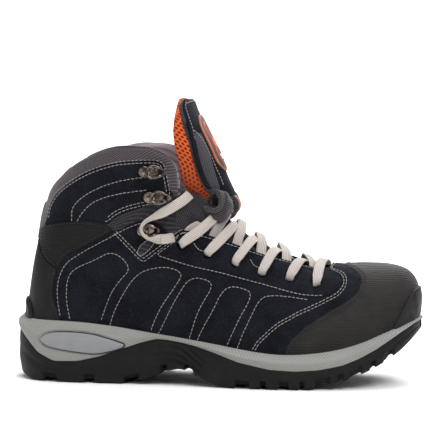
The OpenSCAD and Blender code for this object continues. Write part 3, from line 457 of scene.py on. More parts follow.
class Mat:
    def __init__(s, name, rough=.7, sheen=0, metal=0, spec=.5, coat=0, tint=(1, 1, 1)):
        s.m = bpy.data.materials.new(name); s.m.use_nodes = True
        s.t = s.m.node_tree; s.t.nodes.clear()
        o = s.t.nodes.new("ShaderNodeOutputMaterial"); s.b = s.t.nodes.new("ShaderNodeBsdfPrincipled")
        s.t.links.new(s.b.outputs[0], o.inputs[0])
        s.b.inputs["Roughness"].default_value = rough
        s.b.inputs["Metallic"].default_value = metal
        s.b.inputs["Specular IOR Level"].default_value = spec
        s.b.inputs["Sheen Weight"].default_value = sheen
        s.b.inputs["Sheen Roughness"].default_value = .45
        s.b.inputs["Coat Weight"].default_value = coat
    def new(s, t):
        return s.t.nodes.new(t)
    def ln(s, a, b):
        if isinstance(a, (int, float)):
            b.default_value = a
        elif isinstance(a, tuple):
            b.default_value = a
        else:
            s.t.links.new(a, b)
    def obj(s):
        return s.new("ShaderNodeTexCoord").outputs["Object"]
    def uv(s):
        u = s.new("ShaderNodeUVMap"); u.uv_map = "surf"; return u.outputs[0]
    def sep(s, v):
        n = s.new("ShaderNodeSeparateXYZ"); s.ln(v, n.inputs[0]); return n.outputs[0], n.outputs[1], n.outputs[2]
    def ma(s, op, a, b=0.0, c=None, clamp=False):
        n = s.new("ShaderNodeMath"); n.operation = op; n.use_clamp = clamp
        s.ln(a, n.inputs[0]); s.ln(b, n.inputs[1])
        if c is not None:
            s.ln(c, n.inputs[2])
        return n.outputs[0]
    def noise(s, v, size_mm, detail=2.0, rough=.5, dist=0.0):
        n = s.new("ShaderNodeTexNoise"); s.ln(v, n.inputs["Vector"])
        n.inputs["Scale"].default_value = 1000.0/size_mm; n.inputs["Detail"].default_value = detail
        n.inputs["Roughness"].default_value = rough; n.inputs["Distortion"].default_value = dist
        return n.outputs[0]
    def vor(s, v, size_mm, feature="F1"):
        n = s.new("ShaderNodeTexVoronoi"); n.feature = feature; s.ln(v, n.inputs["Vector"])
        n.inputs["Scale"].default_value = 1000.0/size_mm
        return n.outputs[0]
    def wave(s, x, mm, phase=0.0):
        return s.ma("SINE", s.ma("MULTIPLY_ADD", x, 2*math.pi*1000/mm, phase))
    def step(s, x, lo, hi):
        n = s.new("ShaderNodeMapRange"); n.interpolation_type = "SMOOTHSTEP"; s.ln(x, n.inputs[0])
        n.inputs[1].default_value = lo; n.inputs[2].default_value = hi
        return n.outputs[0]
    def mix(s, f, a, b):
        n = s.new("ShaderNodeMix"); n.data_type = "RGBA"; s.ln(f, n.inputs[0])
        s.ln(a, n.inputs[6]); s.ln(b, n.inputs[7]); return n.outputs[2]
    def bump(s, h, mm, strength=1.0):
        n = s.new("ShaderNodeBump"); s.ln(h, n.inputs["Height"])
        n.inputs["Distance"].default_value = mm*MM; n.inputs["Strength"].default_value = strength
        if s.b.inputs["Normal"].is_linked:
            s.t.links.new(s.b.inputs["Normal"].links[0].from_socket, n.inputs["Normal"])
        s.t.links.new(n.outputs[0], s.b.inputs["Normal"])
    def col(s, c):
        s.ln(c, s.b.inputs["Base Color"])
    def ro(s, r):
        s.ln(r, s.b.inputs["Roughness"])

def suede(name, base, light, sheen=.1):
    m = Mat(name, .95, sheen, spec=.08)
    o = m.obj()
    big = m.step(m.noise(o, 22, 3, .6), .35, .68)
    speck = m.step(m.noise(o, .75, 2, .7), .5, .72)
    fine = m.noise(o, .38, 3, .75)
    c = m.mix(m.ma("MULTIPLY", big, .55), lin(base), lin(light))
    c = m.mix(m.ma("MULTIPLY", speck, .42), c, lin(tuple(min(255, v*1.75+14) for v in light)))
    c = m.mix(m.ma("MULTIPLY", m.step(fine, .3, .5), .35, clamp=True), lin(tuple(v*.72 for v in base)), c) if False else c
    m.col(c); m.ro(m.ma("MULTIPLY_ADD", fine, .25, .72))
    m.bump(m.noise(o, 3.4, 3, .6), .35, .5)
    m.bump(fine, .28, .75)
    m.bump(m.vor(o, .62), .12, .5)
    m.b.inputs["Sheen Tint"].default_value = lin((150, 160, 190))
    return m.m
NAVY = suede("suede_navy", (11, 12, 16), (25, 27, 34))


def hexa(m, u, v, p):
    k = 4*math.pi*1000/(math.sqrt(3)*p)
    a = m.ma("COSINE", m.ma("MULTIPLY", u, k))
    w1 = m.ma("MULTIPLY", v, k*math.sqrt(3)/2)
    b = m.ma("COSINE", m.ma("MULTIPLY_ADD", u, -k/2, w1))
    c = m.ma("COSINE", m.ma("SUBTRACT", m.ma("MULTIPLY", u, -k/2), w1))
    return m.ma("ADD", m.ma("ADD", a, b), c)      # -1.5 .. 3, peaks at the lattice points

def knit(name, base, dark, hole_mm, hole=1.1, sheen=.25, bump=.45, deep=None, rough=.85, foot=None):
    m = Mat(name, rough, sheen, spec=.3)
    u, v, _ = m.sep(m.uv())
    wob = m.ma("MULTIPLY", m.ma("SUBTRACT", m.noise(m.obj(), 6, 2), .5), .0006)
    f = hexa(m, m.ma("ADD", u, wob), m.ma("ADD", v, wob), hole_mm)
    h = m.step(f, hole-.7, hole+.5)
    thread = m.wave(m.ma("ADD", u, v), .55)
    thread2 = m.wave(m.ma("SUBTRACT", u, v), .55)
    fib = m.ma("MULTIPLY", m.ma("ADD", thread, thread2), .25)
    c = m.mix(m.ma("MULTIPLY_ADD", fib, .5, .45, clamp=True), lin(tuple(x*.78 for x in base)), lin(tuple(min(255, x*1.12) for x in base)))
    c = m.mix(m.ma("MULTIPLY", m.step(m.noise(m.obj(), 14, 3), .35, .7), .25), c, lin(tuple(x*.7 for x in base)))
    c = m.mix(h, c, lin(dark))
    # painted shade: below about 185 mm (fully below 140 mm) the colour is mixed towards a darker one, standing in for
    # the shadow of the collar and lace on the lower tongue
    if foot:
        c = m.mix(m.ma("MULTIPLY", m.step(m.ma("MULTIPLY", m.sep(m.obj())[2], -1000.0), -185, -140), .6), c, lin(foot))
    m.col(c)
    m.bump(fib, .14, .8); m.bump(m.ma("MULTIPLY", h, -1.0), bump, 1.0)
    return m.m
def stripe(name, base, line, period=2.1, ang=.6, sheen=.3):
    """twill-like fabric with fine slanting stripes"""
    m = Mat(name, .88, sheen, spec=.3)
    u, v, _ = m.sep(m.uv())
    wob = m.ma("MULTIPLY", m.ma("SUBTRACT", m.noise(m.obj(), 9, 2), .5), .0011)
    s = m.ma("ADD", m.ma("ADD", m.ma("MULTIPLY", u, math.cos(ang)), m.ma("MULTIPLY", v, math.sin(ang))), wob)
    q = m.ma("SUBTRACT", m.ma("MULTIPLY", v, math.cos(ang)), m.ma("MULTIPLY", u, math.sin(ang)))
    w = m.wave(s, period)
    br = m.step(m.wave(q, .9), -.55, .3)
    l = m.ma("MULTIPLY", m.step(w, .1, .85), br)
    fine = m.ma("MULTIPLY", m.wave(u, .5), m.wave(v, .5))
    big = m.step(m.noise(m.obj(), 18, 3, .6), .3, .75)
    c = m.mix(m.ma("MULTIPLY_ADD", fine, .2, .3), lin(base), lin(tuple(x*.72 for x in base)))
    c = m.mix(m.ma("MULTIPLY", l, .75), c, lin(line))
    c = m.mix(m.ma("MULTIPLY", big, .3), c, lin(tuple(min(255, x*1.2+6) for x in base)))
    m.col(c); m.bump(l, .3, .8); m.bump(fine, .12, .6)
    return m.m
COLLAR_M = stripe("collar_twill_mesh", (60, 53, 59), (138, 126, 132), 1.7, .75)
FOLDM = stripe("gusset_fold_mesh", (36, 33, 37), (104, 94, 100), 1.5, .5)
WEBM = stripe("gusset_twill_mesh", (28, 25, 29), (80, 71, 77), 1.7, .9)
ANKLE_M = stripe("ankle_twill_mesh", (29, 26, 31), (80, 71, 78), 1.7, .8)
TONGUE_M = knit("tongue_grey_mesh", (62, 57, 66), (18, 18, 22), 1.7, 1.0)
ORANGE_M = knit("orange_spacer_mesh", (240, 98, 26), (104, 24, 8), 3.4, .45, .15, .9)
# the orange tongue mesh gets painted shade towards its lower end
ORANGE_T = knit("orange_tongue_mesh", (242, 100, 26), (104, 24, 8), 3.4, .35, .15, .9, foot=(112, 24, 8))
LINING_M = knit("lining_dotted_knit", (176, 164, 170), (70, 64, 70), 3.4, 1.6, .25, .35)
LINING_D = knit("lining_forefoot_knit", (70, 66, 72), (24, 22, 26), 3.4, 1.6, .25, .35)
GUSSET_M = knit("gusset_knit", (52, 51, 58), (16, 16, 19), 1.6, 1.0)

def guard(name, base, rib, depth=.28, grain=.5):
    m = Mat(name, .66, .0, spec=.16)
    o = m.obj(); x, y, z = m.sep(o)
    wob = m.ma("MULTIPLY", m.ma("SUBTRACT", m.noise(o, 12, 2), .5), .0010)
    w = m.wave(m.ma("ADD", z, wob), rib) if rib else None
    g = m.noise(o, .9, 3, .6); v = m.vor(o, 1.1)
    big = m.step(m.noise(o, 16, 3, .6), .35, .7)
    c = m.mix(m.ma("MULTIPLY", big, .5), lin(base), lin(tuple(x_*1.35+4 for x_ in base)))
    if rib:
        c = m.mix(m.ma("MULTIPLY", m.step(w, -.2, .9), .3), c, lin(tuple(x_*1.3+5 for x_ in base)))
        m.bump(w, depth, .9)
    m.col(c); m.bump(v, .12, grain); m.bump(g, .14, .6)
    m.ro(m.ma("MULTIPLY_ADD", g, .3, .45))
    return m.m
RIBBED = guard("guard_ribbed", (32, 30, 29), 1.25, .2)
PLAINGUARD = guard("guard_grained", (21, 20, 20), 0)
# painted shade: a darker copy of the ribbed guard for the heel patch, standing in for the heel getting less light than
# the toe
RIBBED_HEEL_SHADE = guard("guard_ribbed_heel", (20, 19, 19), 1.5, .3)

def rubber(name, base, dust=.3, size=1.1):
    m = Mat(name, .62, 0, spec=.18)
    o = m.obj()
    g = m.noise(o, size, 3, .6); big = m.step(m.noise(o, 13, 4, .65), .42, .75)
    m.col(m.mix(m.ma("MULTIPLY", big, dust), lin(base), lin(tuple(x*1.7+10 for x in base))))
    m.ro(m.ma("MULTIPLY_ADD", g, .35, .42)); m.bump(g, .14, .6); m.bump(m.vor(o, .7), .06, .5)
    return m.m
RUBBER = rubber("outsole_black_rubber", (17, 17, 18), .22)
RAND = rubber("rand_rubber", (28, 27, 28), .2)

def midsole_mat():
    m = Mat("midsole_eva_diamond", .68, 0, spec=.35)
    u, v, _ = m.sep(m.uv()); o = m.obj()
    a = m.ma("ABSOLUTE", m.wave(m.ma("ADD", u, v), 4.4)); b = m.ma("ABSOLUTE", m.wave(m.ma("SUBTRACT", u, v), 4.4))
    d = m.ma("MINIMUM", a, b)
    dia = m.step(d, .05, .5)
    g = m.noise(o, .8, 3, .6); big = m.step(m.noise(o, 17, 4, .6), .4, .75)
    c = m.mix(dia, lin((112, 112, 109)), lin((150, 150, 146)))
    c = m.mix(m.ma("MULTIPLY", big, .3), c, lin((130, 128, 122)))
    m.col(c); m.bump(dia, .22, .8); m.bump(g, .1, .5); m.ro(m.ma("MULTIPLY_ADD", g, .2, .55))
    return m.m
MIDSOLE = midsole_mat()
def insert_mat():
    m = Mat("insert_smooth_tpu", .5, 0, spec=.3, coat=.04)
    o = m.obj(); g = m.noise(o, .6, 2, .5); big = m.step(m.noise(o, 9, 3, .6), .4, .75)
    m.col(m.mix(m.ma("MULTIPLY", big, .35), lin((134, 135, 137)), lin((119, 120, 123))))
    m.ro(m.ma("MULTIPLY_ADD", g, .15, .3)); m.bump(g, .05, .5)
    return m.m
INSERT = insert_mat()

def lace_mat(name="lace_flat_braid"):
    m = Mat(name, .82, .25, spec=.3)
    u, v, _ = m.sep(m.uv()); o = m.obj()
    av = m.ma("ABSOLUTE", v)
    rows = m.wave(v, 1.25)
    her = m.wave(m.ma("ADD", u, m.ma("MULTIPLY", m.ma("PINGPONG", m.ma("ADD", v, .02), .000625), 1.4)), 1.05)
    h = m.ma("ADD", m.ma("MULTIPLY", rows, .6), m.ma("MULTIPLY", her, .5))
    c = m.mix(m.step(h, -.9, .9), lin((150, 139, 133)), lin((214, 205, 199)))
    c = m.mix(m.ma("MULTIPLY", m.step(m.noise(o, 11, 3), .4, .75), .25), c, lin((178, 166, 158)))
    m.col(c); m.bump(h, .2, .9); m.bump(m.noise(o, .35, 2), .06, .5)
    return m.m
LACE_MAT = lace_mat()

def thread(name, base):
    m = Mat(name, .6, .1, spec=.4)
    o = m.obj(); x, y, z = m.sep(o)
    w = m.wave(m.ma("ADD", m.ma("ADD", x, z), y), .5)
    m.col(m.mix(m.step(w, -.8, .6), lin(tuple(v*.72 for v in base)), lin(base))); m.bump(w, .07, .8)
    return m.m
WHITE_T = thread("thread_off_white", (186, 182, 178))
BLACK_T = thread("thread_black", (20, 20, 21))

def metal():
    m = Mat("hook_antique_metal", .36, 0, 1.0, .5)
    o = m.obj(); g = m.noise(o, 4.5, 3, .55); f = m.noise(o, .5, 3, .6)
    m.col(m.mix(m.step(g, .35, .65), lin((134, 122, 114)), lin((74, 66, 60))))
    m.ro(m.ma("MULTIPLY_ADD", g, .3, .1)); m.bump(f, .015, .4)
    return m.m
METAL = metal()

def webbing(name, a, b, period=2.4):
    m = Mat(name, .8, .2, spec=.35)
    u, v, _ = m.sep(m.uv()); o = m.obj()
    w = m.wave(u, 1.1); h = m.wave(v, 1.3)
    h2 = m.ma("MULTIPLY", w, h)
    st = m.step(m.ma("ABSOLUTE", v), .0022, .0030)
    m.col(m.mix(m.step(h2, -.8, .8), m.mix(st, lin(tuple(x*.6 for x in a)), lin(b)), m.mix(st, lin(a), lin(tuple(x*1.3+8 for x in b)))))
    m.bump(h2, .22, .9); m.bump(m.noise(o, .4), .06, .4)
    return m.m
WEB = webbing("keeper_webbing", (226, 92, 34), (26, 25, 27))
STRIP = webbing("back_strip_webbing", (30, 30, 33), (22, 22, 24))

def plain(name, base, rough=.8, size=1.2, bump=.2, light=1.3, sheen=0):
    m = Mat(name, rough, sheen, spec=.35); o = m.obj()
    g = m.noise(o, size, 3, .6); big = m.step(m.noise(o, size*14, 3, .6), .4, .7)
    m.col(m.mix(m.ma("MULTIPLY", big, .5), lin(base), lin(tuple(min(255, x*light) for x in base))))
    m.bump(g, bump, .6); m.ro(m.ma("MULTIPLY_ADD", g, .2, rough-.1))
    return m.m
STIFF = plain("stiffener_fibre", (196, 190, 176), .85, .5, .15)
BOARD = plain("lasting_board_fibre", (150, 138, 118), .9, .7, .2)
FOAM = plain("inner_foam", (84, 78, 84), .9, .9, .3)
MEMBRANE = plain("membrane_film", (92, 84, 90), .6, .6, .05)
SHANK = plain("shank_nylon", (48, 48, 52), .5, 1.5, .06)
TIP = plain("lace_tip_plastic", (188, 178, 172), .3, 2.5, .03)
# painted shade: near-black colour for the faces inside the gusset pouch mouth, standing in for the shade in the hollow
POUCH_SHADE = plain("gusset_hollow_cloth", (15, 14, 15), .95, .6, .2)
BADGE_D = plain("badge_dark_rubber", (44, 42, 45), .55, .5, .08)
BADGE_O = plain("badge_peach_rim", (168, 100, 76), .5, .5, .06)
BADGE_R = plain("badge_orange", (190, 74, 32), .5, .5, .06)
BADGE_W = plain("badge_light_mark", (214, 210, 205), .5, .5, .05)
FOOTBED_M = knit("footbed_textile", (214, 98, 44), (120, 44, 18), 1.5, 1.2, .3, .25)
LINTH = None
# ------------------------------------------------------------------ upper panels
WINS = []
for k in ("f0", "f1", "f2", "f3", "f4"):
    p = LINES[k]
    if k == "f4":
        p = np.vstack([p, [[88, 62], [60, 50], [36, 22]]])
    else:
        p = np.vstack([p, [[p[-1, 0]+2, 20], [p[0, 0]+2, 20]]])
    WINS.append(sdf(p, 0))
WIN = np.maximum.reduce(WINS)
side_l = VV < 1.0
def half(Dp, s):
    return np.where(side_l if s < 0 else ~side_l, Dp, -6.0)
not_ = lambda k, m=0.0: -D[k]+m

def shaped_quarter(c):
    w = c["win"]
    h = -.42*smooth01((w+.6)/1.6)+.38*smooth01((w-1.5)/6)*smooth01((c["z"]-46)/12)
    return h-.34*np.exp(-(c["ds"]/.75)**2)+.12*c["nf"]
qD = np.minimum.reduce([D["UPPER"], not_("FRONT", 4), not_("EYE", 4), not_("HEEL", 4), not_("PATCH", 4),
                        not_("CUFF", 3), not_("ANKLE", 0), not_("COLLAR", 3)])
aD = np.minimum.reduce([D["UPPER"], D["ANKLE"]+5])
for s, nm in ((-1, "lateral"), (1, "medial")):
    panel("quarter_"+nm, half(qD, s), NAVY, -.25, extra=shaped_quarter, rep=("quarter_"+nm,), slot="suede")
    panel("ankle_mesh_"+nm, half(np.where(D["COLLAR"] > 4, -3, aD), s), ANKLE_M, -1.0, -1.7, r=2.2, drop=.6, extra=lambda c: .35*c["ns"]+.5*smooth01(c["d"]/8),
          rim=(2.5, 1.2), rep=("ankle_mesh_"+nm,), slot="ankle_mesh")
    panel("cuff_"+nm, half(np.minimum(D["CUFF"], D["UPPER"]), s), NAVY, .3, -1.2, r=1.2, drop=.8,
          extra=lambda c: .3*smooth01(c["d"]/14)-.32*np.exp(-(c["ds"]/.75)**2)-.22*np.exp(-((c["d"]-2.6)/1.4)**2)+.1*c["nf"], rep=("cuff_"+nm,), slot="suede")
cD = np.minimum(D["UPPER"], D["COLLAR"]+3)
COL = panel("collar_mesh", cD, COLLAR_M, .9, -1.6, r=4, drop=1.6, extra=lambda c: .3*c["ns"], rim=(3.4, 2.4), rep=("collar_mesh",), slot="collar_mesh")
HOLES = [(surf(np.array([u]), np.array([v]))[0], surf(np.array([u]), np.array([2-v]))[0])
         for u, v in [[13.2,.485],[11.7,.495],[10.25,.52],[9,.53],[7.9,.575],[6.8,.58]]]
eD = np.minimum(D["EYE"], D["UPPER"])
hole_d = np.full(GX.shape, 99.)
for a, b in HOLES:
    for q in (a, b):
        hole_d = np.minimum(hole_d, np.linalg.norm(GP-q, axis=-1)-3.5)
eD = np.minimum(eD, hole_d)
hole_ch = hole_d
for s, nm in ((-1, "lateral"), (1, "medial")):
    panel("eyestay_"+nm, half(eD, s), NAVY, .45, -.5, r=1.1, drop=.75, extra=lambda c: -.3*np.exp(-(c["ds"]/.75)**2)-.2*np.exp(-((c["d"]-2)/.8)**2)+.1*c["nf"], rep=("eyestay_"+nm,), slot="suede")
vD = np.minimum.reduce([np.maximum(D["UPPER"], D["FRONT"]-200), D["FRONT"], not_("TOE", 6)])
panel("vamp", vD, NAVY, .25, -1.2, r=1.2, drop=.8, extra=lambda c: .25*smooth01(c["d"]/12)-.3*np.exp(-((c["d"]-1.9)/.6)**2)-.3*np.exp(-((c["d"]-3.9)/.6)**2)+.16*c["nf"], rep=("vamp",), slot="suede")
panel("toe_cap", D["TOE"], RIBBED, .85, -.3, r=1.3, drop=.9, extra=lambda c: .35*smooth01(c["d"]/20)-.25*np.exp(-((c["d"]-1.8)/.55)**2)-.25*np.exp(-((c["d"]-3.8)/.55)**2), rep=("toe_cap",), slot="ribbed_guard")
panel("heel_guard", np.minimum(D["HEEL"], 60), PLAINGUARD, .7, -.4, r=1.1, drop=.7, extra=lambda c: -.2*np.exp(-((c["d"]-1.8)/.55)**2), rep=("heel_guard",), slot="smooth_guard")
# the heel patch takes the darker ribbed copy, which paints shade on the heel
panel("heel_patch", D["PATCH"], RIBBED_HEEL_SHADE, 1.0, -.3, r=1.4, drop=.9, extra=lambda c: .4*smooth01(c["d"]/14)-.25*np.exp(-((c["d"]-1.8)/.55)**2), rep=("heel_patch",), slot="ribbed_guard")

wD = sdf([[-46.2,108.5],[-51.4,104.7],[-54.5,99.4],[-53.7,97.1],[-50.6,96.4],[-44.6,101.7],[-41.6,106.3]])+.3
for s_i, nm in ((-1, "lateral"), (1, "medial")):
    panel("mesh_window_"+nm, half(wD, s_i), WEBM, .3, -.7, r=1.0, drop=.5, slot="ankle_mesh")
# lining rolls up to meet the collar at the rim
LIN = [[-170,136],[-142,139],[-134,141],[-130,144],[-122,149.5],[-114,157],[-107,163],[-100,167.5],
 [-94,170],[-88,173],[-82,175.5],[-76,177.5],[-69,179],[-63,179.3],[-55,178.8],[-44,178.2],[-37,175.5],
 [-30,171],[-26,166],[-23.5,160],[-22.5,146],[-23.5,138],[-25.5,129],[-28,118],[-30,103],[-24,96],[-12,88.5],[-2,85],
 [19,79.5],[39,74.5],[60,69],[80,66],[92,68],[99,74],[101,82],[101,120],[190,120],[190,-10],[-170,-10]]
lD = sdf(LIN)
def lin_in(c, h):
    return -6.1-.3*smooth01(c["up"]/10)+3.2*(1-np.sqrt(np.clip(1-(1-np.clip(c["up"]/5.2, 0, 1))**2, 0, 1)))
lT = np.minimum(lD, D["UPPER"])
back_x = (-94-GX)/np.maximum(.4, np.sqrt(np.clip(1-GN[..., 0]**2, 0, 1)))
for nm_, dd_, mt_, rp_ in (("lining_collar", np.minimum.reduce([lT, GZ-100, -back_x]), LINING_M, ("lining_collar",)),
                           ("lining_heel", np.minimum(lT, np.maximum(np.minimum(back_x, GZ-44), np.minimum(-85-GX, 100-GZ))), ORANGE_M, ("lining_heel",)),
                           ("lining_forefoot", np.minimum.reduce([lT, GX+60, np.maximum(100-GZ, np.minimum(GX-.2, 140-GZ))]), LINING_D, ("lining_forefoot",))):
    panel(nm_, dd_, mt_, -4.9, outer=False, r=.3, drop=.1, extra=lambda c: 4.3*(1-np.sqrt(np.clip(1-(1-np.clip(c["up"]/5.8, 0, 1))**2, 0, 1))), inner_fn=lin_in, rep=rp_, slot="lining_textile")

def poly_panel(name, poly, ylim, mat, top, bottom, rep, slot, **kw):
    d = sdf(poly)
    if ylim[0] is not None:
        d = np.minimum(d, (GY-ylim[0])/np.maximum(.35, np.sqrt(np.clip(1-GN[..., 1]**2, 0, 1))))
    if ylim[1] is not None:
        d = np.minimum(d, (ylim[1]-GY)/np.maximum(.35, np.sqrt(np.clip(1-GN[..., 1]**2, 0, 1))))
    return panel(name, d, mat, top, bottom, rep=rep, slot=slot, **kw)
GUS = [[-12,134],[20,134],[95,98],[95,72],[80,68.5],[60,71],[39,77],[19,82],[-2,87.5],[-12,91],[-22,98],[-26,104],[-25,118],[-22,130]]
poly_panel("gusset_lateral", GUS, (None, -19.0), GUSSET_M, -6.1, -7.2, ("gusset_lateral",), "ankle_mesh", r=1, drop=.4, extra=lambda c: .5*c["ns"])
poly_panel("gusset_medial", GUS, (22.0, None), GUSSET_M, -6.1, -7.2, ("gusset_medial",), "ankle_mesh", r=1, drop=.4, extra=lambda c: .5*c["ns"])
TB = [[99,20],[99,120],[40,150],[20,136.5],[-2,136.5],[-14,128],[-22,112],[-30,60],[-30,20]]
tbase = poly_panel("tongue_base", TB, (-22, 25), TONGUE_M, -5.6, -10.2, ("tongue_base",), "tongue_textile", r=5, drop=2.6, extra=lambda c: .9*smooth01(c["d"]/10)+.3*c["ns"])
poly_panel("tongue_base_front", [[96,20],[96,120],[40,150],[21,133],[4,133],[-8,124],[-22,112],[-30,60],[-30,20]], (-13, 16), NAVY, -4.6, -6.2, (), "suede", r=1.2, drop=.8, extra=lambda c: .25*c["ns"])
poly_panel("toe_rand", [[137,34],[150,42],[175,46],[175,74],[151,74.5],[147,66],[142,56],[135,44]], (None, None), RAND, 2.7, .55, ("toe_rand",), "outsole_rubber", r=1.6, drop=1.3, extra=lambda c: .1*c["nf"])
poly_panel("heel_rand", [[-175,38],[-137,38],[-139,52],[-142,58],[-146,62],[-175,63]], (None, None), RAND, 2.8, .55, ("heel_rand",), "outsole_rubber", r=1.6, drop=1.3, extra=lambda c: .1*c["nf"])
poly_panel("back_strip", [[-175,104],[-128,104],[-128,140],[-175,140]], (-6.5, 6.5), STRIP, 1.9, .7, ("back_strip",), "webbing", r=1.0, drop=.7)

# ------------------------------------------------------------------ padding, let out by a short cloth simulation
def puff(volume, targets, voxel, pinned, pressure=4.0, cap=1.3, gain=1.0, keep=None):
    """blow the padded volume up a little inside its seams, and give the visible pieces the same shape"""
    c = volume.copy(); c.data = volume.data.copy(); S.collection.objects.link(c)
    for o in bpy.context.selected_objects:
        o.select_set(False)
    bpy.context.view_layer.objects.active = c; c.select_set(True)
    md = c.modifiers.new("r", "REMESH"); md.mode = "VOXEL"; md.voxel_size = voxel*MM
    bpy.ops.object.modifier_apply(modifier="r")
    n = len(c.data.vertices); co = np.empty(n*3, np.float64); c.data.vertices.foreach_get("co", co); co = co.reshape(-1, 3)
    w = pinned(co/MM)
    g = c.vertex_groups.new(name="pin")
    for k, q in enumerate(w):
        if q > .02:
            g.add([k], float(q), "REPLACE")
    cm = c.modifiers.new("cloth", "CLOTH"); st = cm.settings
    st.quality = 5; st.mass = .25; st.tension_stiffness = 18; st.compression_stiffness = 10; st.shear_stiffness = 8; st.bending_stiffness = 1.2
    st.use_pressure = True; st.uniform_pressure_force = pressure; st.vertex_group_mass = "pin"; st.pin_stiffness = 1.0
    st.effector_weights.gravity = 0.0; cm.collision_settings.use_collision = False
    cm.point_cache.frame_start = 1; cm.point_cache.frame_end = 20
    for f in range(1, 21):
        S.frame_set(f)
    ev = c.evaluated_get(bpy.context.evaluated_depsgraph_get())
    out = np.empty(n*3, np.float64); ev.data.vertices.foreach_get("co", out); out = out.reshape(-1, 3)
    d = out-co; L = np.linalg.norm(d, axis=1, keepdims=True)
    d = np.where(np.isfinite(d), d, 0); L = np.where(np.isfinite(L), L, 0)
    d = d*np.minimum(1.0, cap*MM/np.maximum(L, 1e-9))*gain
    S.frame_set(1)
    kd = KDTree(n)
    for k in range(n):
        kd.insert(co[k], k)
    kd.balance()
    for ob in targets:
        m = len(ob.data.vertices); v = np.empty(m*3, np.float64); ob.data.vertices.foreach_get("co", v); v = v.reshape(-1, 3)
        add = np.zeros_like(v)
        for k in range(m):
            near_ = kd.find_n(v[k], 5); ws = np.array([1/(x[2]+1e-4) for x in near_]); ids = [x[1] for x in near_]
            add[k] = (d[ids]*ws[:, None]).sum(0)/ws.sum()
        if keep is not None:
            add *= keep(v/MM)[:, None]
        ob.data.vertices.foreach_set("co", (v+add).ravel()); ob.data.update()
    me = c.data; bpy.data.objects.remove(c); bpy.data.meshes.remove(me)

def padded_body(name, Dp, h0, h1):
    Vx, F, dd = clip(Dp, GP, GN, su, sv, [D["UPPER"]], closed)
    if FLIP:
        F = F[:, ::-1]
    P, N = Vx[:, :3], unit(Vx[:, 3:6]); n = len(P); bd = boundary(F)
    Fw = np.vstack([np.stack([bd[:, 1], bd[:, 0], bd[:, 0]+n], -1), np.stack([bd[:, 1], bd[:, 0]+n, bd[:, 1]+n], -1)])
    return build(name, np.vstack([P+N*h0, P+N*h1]), np.vstack([F, F[:, ::-1]+n, Fw]))
vol = padded_body("tmp_collar", np.minimum(D["UPPER"], np.maximum(D["COLLAR"], D["CUFF"])), .9, -6.2)
kdg = KDTree(nU*nV)
GPf = GP.reshape(-1, 3)
for k in range(nU*nV):
    kdg.insert(GPf[k], k)
kdg.balance()
seam = np.minimum(np.abs(D["COLLAR"]), ds_all).ravel(); bot = np.maximum(D["COLLAR"], D["CUFF"]).ravel()
def pin_collar(p):
    w = np.zeros(len(p))
    for k, q in enumerate(p):
        j = kdg.find(q)[1]
        w[k] = max(0, 1-seam[j]/2.6, 1-bot[j]/5.0)
    return np.clip(w, 0, 1)
puff(vol, [ALL[k] for k in ("collar_mesh", "cuff_lateral", "cuff_medial", "lining_collar")], 4.2, pin_collar, 4.0, 1.5,
     keep=lambda p: smooth01((p[:, 2]-118)/12))
me_ = vol.data; bpy.data.objects.remove(vol); bpy.data.meshes.remove(me_)

# ------------------------------------------------------------------ sole
SN = 660
def half_plan(v):
    u = np.arange(0, 19)
    p = surf(u.astype(float), np.full(19, float(v)))[:, :2]
    z = ST[:19, 1]
    p = np.column_stack([p, z])
    yc = .5
    pts = np.vstack([[[152.2, .5, 51.2]], p, [[-147.9, 0, 49]]])
    return pts
L_, M_ = half_plan(0), half_plan(2)
loop = np.vstack([L_, M_[-2:0:-1]])
dense = crom(loop, 40, closed=True)
nl = (len(L_)-1)*40
Ld = resample(dense[:nl+1], n=SN//2+1); Md = resample(np.vstack([dense[nl:], dense[:1]])[::-1], n=SN//2+1)
RING = np.vstack([Ld, Md[-2:0:-1]])            # closed loop, toe centre -> lateral -> heel -> medial
NR_ = len(RING)
dv = np.roll(RING, -3, 0)-np.roll(RING, 3, 0)
RN = unit(np.column_stack([dv[:, 1], -dv[:, 0], 0*dv[:, 0]]))
if (RN[SN//4]*np.array([0, -1, 0])).sum() < 0:
    RN = -RN
for _ in range(14):
    RN = unit(RN+.5*(np.roll(RN, 1, 0)+np.roll(RN, -1, 0)))
sgn = np.where(np.arange(NR_) <= SN//2, 1.13, -1.07)*np.clip(np.minimum(np.arange(NR_), abs(np.arange(NR_)-SN//2))/8, 0, 1)
sgn = np.where(np.arange(NR_) > SN-8, sgn*(NR_-np.arange(NR_))/8, sgn)
FLX = np.interp(RING[:, 0], [-150,-135,-110,-60,-10,30,70,110,140,153], [7.95,6,4.8,4.8,6,7.6,7.6,6.4,4.6,3.4]) \
    + sgn*np.interp(RING[:, 0], [-140,-60,30,70,110,140], [0,.6,1.1,1.1,.8,0])
def soft_table(T, sig=2.5):
    T = np.array(T, float); x = np.arange(-175, 175.1, .5)
    y = np.interp(x, T[:, 0], T[:, 1]); k = np.exp(-.5*(np.arange(-20, 21)*.5/sig)**2); k /= k.sum()
    y = np.convolve(np.pad(y, 20, mode="edge"), k, "valid")
    return lambda q: np.interp(q, x, y)
TREAD = soft_table([[-160,20],[-153,9],[-146,3],[-136,0],[-62,0],[-47,4],[-33,10],[-20,13],[-8,8],[4,2.5],[14,0],
  [74,0],[88,3],[104,7],[120,14],[132,21],[142,29],[150,38],[157,48]])
OUTT = soft_table([[-160,40],[-144,37],[-138,31],[-130,22],[-118,16],[-100,16.5],[-83,20.5],[-63,27.5],[-50,32],
  [-38,35],[-30,34.4],[-18,32.6],[-6,30],[8,25.8],[25,19.8],[48,15],[66,14],[83,15],[100,18.5],[112,23.5],
  [123,29.5],[140,41.5],[150,48.2],[157,49.2]], 1.5)
